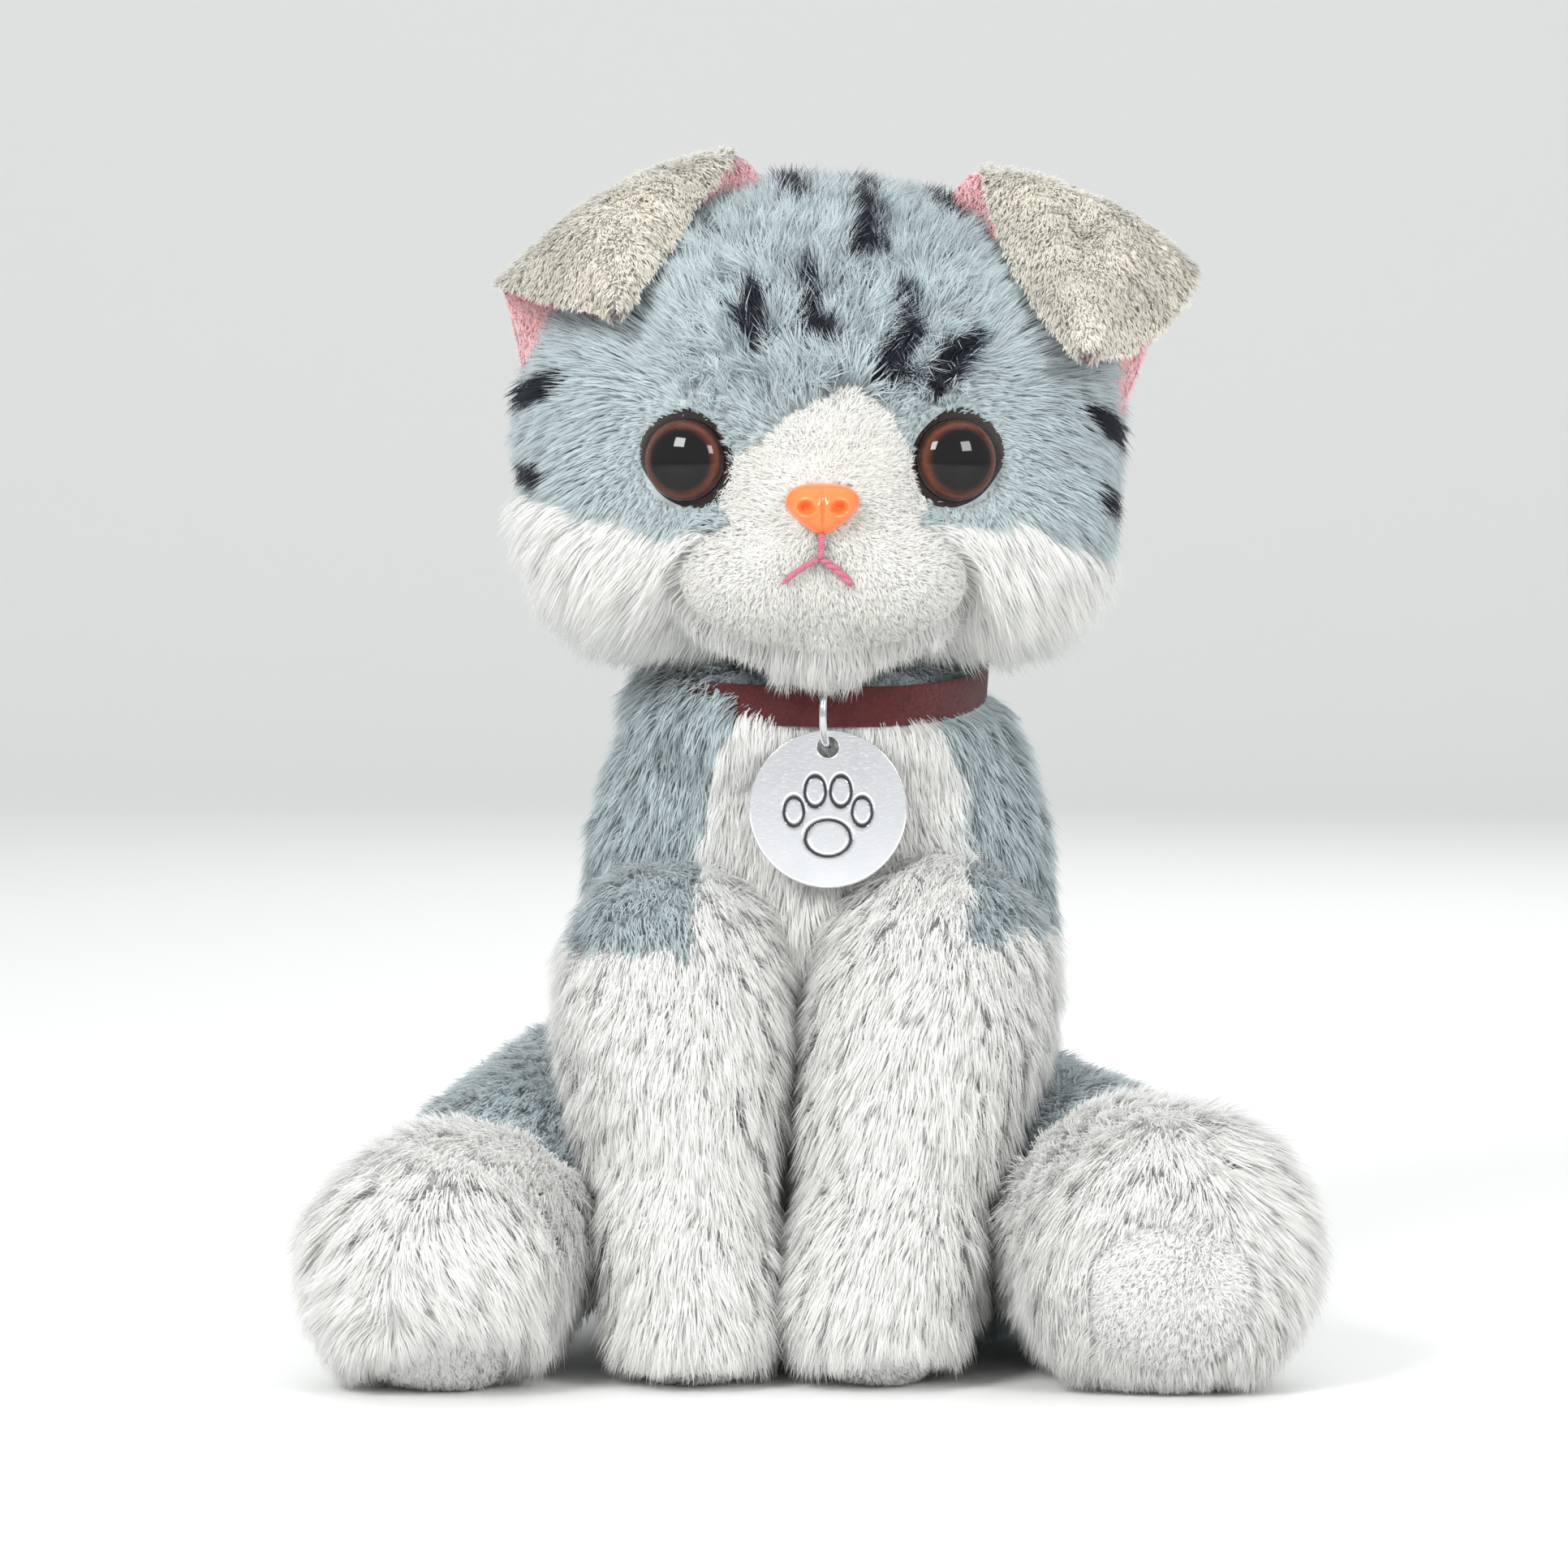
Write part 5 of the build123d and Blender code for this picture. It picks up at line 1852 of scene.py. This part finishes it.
# ------------------------------------------------------------------ collar, ring and tag
@dataclass
class Collar:
    """The suede strap, the split ring and the engraved tag."""

    finishes: Finishes
    strap_radius: float = 34.3
    strap_thick: float = 1.5
    strap_height: float = 8.4
    ring_yaw: float = 10.0

    def build(self) -> None:
        """Make the three pieces."""
        self.build_strap()
        self.build_ring()
        self.build_tag()

    def build_strap(self) -> None:
        """A band with rounded edges, gently waved as soft suede is."""
        axis, neck = joint_axis("collar_turn"), joint_place("collar_turn")
        box = node_box("collar_strap")
        middle = neck + axis * (((box[0] + box[1]) / 2 - neck) @ axis)
        across = np.array([1.0, 0, 0])
        forward = np.cross(axis, across)
        angle = np.linspace(0, 2 * math.pi, 240, endpoint=False)
        out = np.cos(angle)[:, None] * across + np.sin(angle)[:, None] * forward
        around = np.linspace(0, 2 * math.pi, 28, endpoint=False)
        power = 0.35
        wide = np.sign(np.cos(around)) * np.abs(np.cos(around)) ** power * self.strap_thick / 2
        tall = np.sign(np.sin(around)) * np.abs(np.sin(around)) ** power * self.strap_height / 2
        wave = 0.25 * np.sin(angle * 5) + 0.15 * np.sin(angle * 11 + 1)
        rise = 0.35 * np.sin(angle * 3 + 0.5)
        flare = tall[None, :] / self.strap_height * 0.5
        radius = self.strap_radius + wave[:, None] * 0.5 + wide[None] + flare
        loops = middle + out[:, None] * radius[..., None] + axis * (tall[None] + rise[:, None])[..., None]
        strap = ring_mesh("collar_band", loops)
        dress(strap, "collar", "suede", self.finishes.suede, "collar_strap")

    def build_ring(self, wire: float = 0.82) -> None:
        """A split ring of round wire: one loop, pinched a little where its two ends meet."""
        box = node_box("split_ring")
        middle = (box[0] + box[1]) / 2
        radius = (box[1, 2] - box[0, 2]) / 2 - wire
        angle = np.linspace(0, 2 * math.pi, 120, endpoint=False)
        yaw = math.radians(self.ring_yaw)
        path = middle + radius * np.stack([np.cos(angle) * math.sin(yaw), np.cos(angle) * math.cos(yaw),
                                           np.sin(angle)], axis=-1)
        around = np.linspace(0, 2 * math.pi, 20, endpoint=False)
        out = unit(path - middle)
        joint = 1 - 0.16 * np.exp(-(((angle - 2.2) / 0.03) ** 2))
        side = np.array([math.cos(yaw), -math.sin(yaw), 0])
        circle = (np.cos(around)[None, :, None] * out[:, None]
                  + np.sin(around)[None, :, None] * side)
        loops = path[:, None] + circle * (wire * joint)[:, None, None]
        ring = ring_mesh("ring_wire", loops)
        dress(ring, "ring", "ring_steel", self.finishes.steel, "split_ring")

    def paw(self, x: Array, z: Array) -> Array:
        """Distance outside a generic paw print: one broad pad and four toes."""
        pads = [(0.0, -3.6, 4.6, 3.7), (-6.9, 1.8, 2.0, 2.9), (-2.6, 5.9, 2.1, 3.1),
                (2.6, 5.9, 2.1, 3.1), (6.9, 1.8, 2.0, 2.9)]
        gaps = []
        for cx, cz, rx, rz in pads:
            scaled = np.hypot((x - cx) / rx, (z - cz) / rz)
            gaps.append((scaled - 1) * min(rx, rz))
        return np.min(gaps, axis=0)

    def build_tag(self, bevel: float = 0.3, depth: float = 0.16, line: float = 0.34) -> None:
        """A polished disc with a hole near its rim and a paw print engraved in outline.

        Rings run from the hole to the rim as a straight blend of the two circles. The engraving
        sinks the front by a smooth valley that follows the print's outline.
        """
        box = node_box("tag")
        centre = (box[0] + box[1]) / 2
        radius, thick = (box[1, 0] - box[0, 0]) / 2, box[1, 1] - box[0, 1]
        pivot = joint_place("tag_swing")
        hole = np.array([pivot[0], pivot[2] - 0.4])
        hole_radius = 2.1
        count = 200
        angle = np.linspace(0, 2 * math.pi, count, endpoint=False)
        circle = np.stack([np.cos(angle), np.sin(angle)], axis=-1)
        inner = hole + hole_radius * circle
        rim = np.array([centre[0], centre[2]]) + radius * circle

        def level(share: Array, y: Array) -> Array:
            """Rings at shares of the way out, at given depths."""
            flat = inner[None] * (1 - share[:, None, None]) + rim[None] * share[:, None, None]
            return np.stack([flat[..., 0], np.broadcast_to(y, flat.shape[:2]), flat[..., 1]], axis=-1)

        shares = np.concatenate([[0.0, 0.012], np.linspace(0.025, 0.985, 110), [0.993, 1.0]])
        front_y = np.full(shares.shape, centre[1] - thick / 2)
        front_y[[0, -1]] += bevel
        front_y[-2] += bevel * 0.3
        front = level(shares, front_y[:, None])
        gap = np.abs(self.paw(front[..., 0] - centre[0], front[..., 2] - centre[2] + 2.2))
        front[..., 1] += depth * np.exp(-((gap / line) ** 4))
        back_shares = np.array([1.0, 0.985, 0.5, 0.012, 0.0])
        back_y = np.array([centre[1] + thick / 2 - bevel] + [centre[1] + thick / 2] * 3
                          + [centre[1] + thick / 2 - bevel])
        back = level(back_shares, back_y[:, None])
        tag = ring_mesh("tag_disc", np.concatenate([front, back]).transpose(1, 0, 2))
        etch = np.concatenate([np.exp(-((gap / (line * 1.1)) ** 6)), np.zeros(back.shape[:2])])
        point_values(tag, "etch", etch.T)
        dress(tag, "tag", "tag_steel", self.finishes.tag, "tag")


# ------------------------------------------------------------------ what stays inside
def dress_inner_nodes(finishes: Finishes) -> None:
    """Give every CAD node that stays its own finish."""
    for name, node in frame["nodes"].items():
        if name == "neck_stuffing":
            finish = finishes.gather
        elif "stuffing" in name:
            finish = finishes.fibre
        elif name == "bean_pouch":
            finish = finishes.pouch
        elif "washer" in name:
            finish = finishes.washer
        else:
            continue
        node.data.materials.clear()
        node.data.materials.append(finish)


# ------------------------------------------------------------------ the studio
@dataclass
class Studio:
    """Pale floor, soft lights and the camera."""

    distance: float = 1200.0
    lens: float = 135.5
    elevation: float = 4.0
    target: tuple[float, float, float] = (-5.05, -30.95, 117.9)

    def light(self, name: str, place: tuple, size: float, power: float, aim: tuple = (0, 0, 120)) -> None:
        """A square soft light that looks at a point.

        Args:
            name: The light's name.
            place: Where it stands, in millimetres.
            size: Its side, in millimetres.
            power: In watts.
            aim: What it looks at, in millimetres.
        """
        data = bpy.data.lights.new(name, "AREA")
        data.size, data.energy = size * MM, power
        lamp = bpy.data.objects.new(name, data)
        lamp.location = [c * MM for c in place]
        way = Vector([(a - b) * MM for a, b in zip(aim, place)])
        lamp.rotation_euler = way.to_track_quat("-Z", "Y").to_euler()
        bpy.context.scene.collection.objects.link(lamp)

    def build(self) -> None:
        """Make the floor, the lights, the sky and the camera."""
        turn = np.linspace(0, math.pi / 2, 24)
        y = np.concatenate([[-3000], 1500 + 900 * np.sin(turn), [2400]])
        z = np.concatenate([[0], 900 - 900 * np.cos(turn), [4000]])
        rows = len(y)
        vertices = np.array([(side, a, b) for side in (-3500.0, 3500.0) for a, b in zip(y, z)])
        floor = make_object("floor", vertices, [(k, k + rows, k + rows + 1, k + 1) for k in range(rows - 1)])
        material, t, shader = new_material("pale_floor")
        where = t.add("TexCoord").outputs["Object"]
        haze = t.add("TexNoise", {"Vector": where, "Scale": 3.0, "Detail": 2.0})
        amount = t.math("MULTIPLY", haze.outputs["Fac"], 0.3)
        pale, paler = (0.77, 0.78, 0.765, 1), (0.80, 0.805, 0.795, 1)
        t.link(t.mix(amount, paler, pale), shader.inputs["Base Color"])
        shader.inputs["Roughness"].default_value = 0.55
        floor.data.materials.append(material)

        self.light("key", (-620, -950, 820), 400, 13.0)
        self.light("fill", (760, -900, 640), 360, 7.0)
        self.light("top", (0, 120, 1250), 1200, 3.0)
        self.light("back", (250, 1000, 760), 900, 3.0)
        world = bpy.data.worlds.new("studio")
        world.use_nodes = True
        world.node_tree.nodes["Background"].inputs[0].default_value = (0.97, 0.985, 1.0, 1)
        world.node_tree.nodes["Background"].inputs[1].default_value = 0.80
        bpy.context.scene.world = world
        bpy.context.scene.view_settings.view_transform = "Standard"

        data = bpy.data.cameras.new("camera")
        data.lens, data.sensor_width = self.lens, 36.0
        data.clip_start, data.clip_end = 0.05, 20.0
        camera = bpy.data.objects.new("camera", data)
        tilt = math.radians(self.elevation)
        x, y, z = self.target
        place = (x, y - self.distance * math.cos(tilt), z + self.distance * math.sin(tilt))
        camera.location = [c * MM for c in place]
        camera.rotation_euler = (math.pi / 2 - tilt, 0, 0)
        bpy.context.scene.collection.objects.link(camera)
        bpy.context.scene.camera = camera


def main() -> None:
    """Build the cat, sub-assembly by sub-assembly."""
    Studio().build()
    finishes = Finishes()
    dress_inner_nodes(finishes)
    Torso(finishes).build()
    limbs = [
        Limb(finishes, LimbKind.FORE, "left", joint="foreleg_swing_left", reach=(-12.5, -26, -64),
             start_radius=21.5, end_radius=16.5, white_from=88.0, sole_way=(0.1, -0.45, -0.9),
             sole_angle=38, fur=9.5, lean_back=7.0, elbow=1.6, ankle=2.6, seed=200),
        Limb(finishes, LimbKind.FORE, "right", joint="foreleg_swing_right", reach=(4.5, -26, -65.5),
             start_radius=20.5, end_radius=15.0, white_from=86.0, sole_way=(0.0, -0.4, -0.9),
             sole_angle=36, fur=9.5, lean_back=7.0, elbow=1.6, ankle=2.4, seed=210),
        Limb(finishes, LimbKind.HIND, "left", joint="hind_leg_spread_left", reach=(25.5, -68, -8),
             start_radius=23.0, end_radius=26.5, white_from=0.64, sole_way=(-0.02, -1.0, -0.16),
             sole_angle=36, fur=11.0, lean_back=0.0, elbow=0.0, ankle=2.0, seed=220),
        Limb(finishes, LimbKind.HIND, "right", joint="hind_leg_spread_right", reach=(-26.5, -70, -17),
             start_radius=23.5, end_radius=23.5, white_from=0.66, sole_way=(0.1, -0.55, -0.85),
             sole_angle=34, fur=10.5, lean_back=0.0, elbow=0.0, ankle=2.0, seed=230),
    ]
    for limb in limbs:
        limb.build()
    Tail(finishes).build()
    Collar(finishes).build()
    Head(finishes).build()


if __name__ == "__main__":
    main()
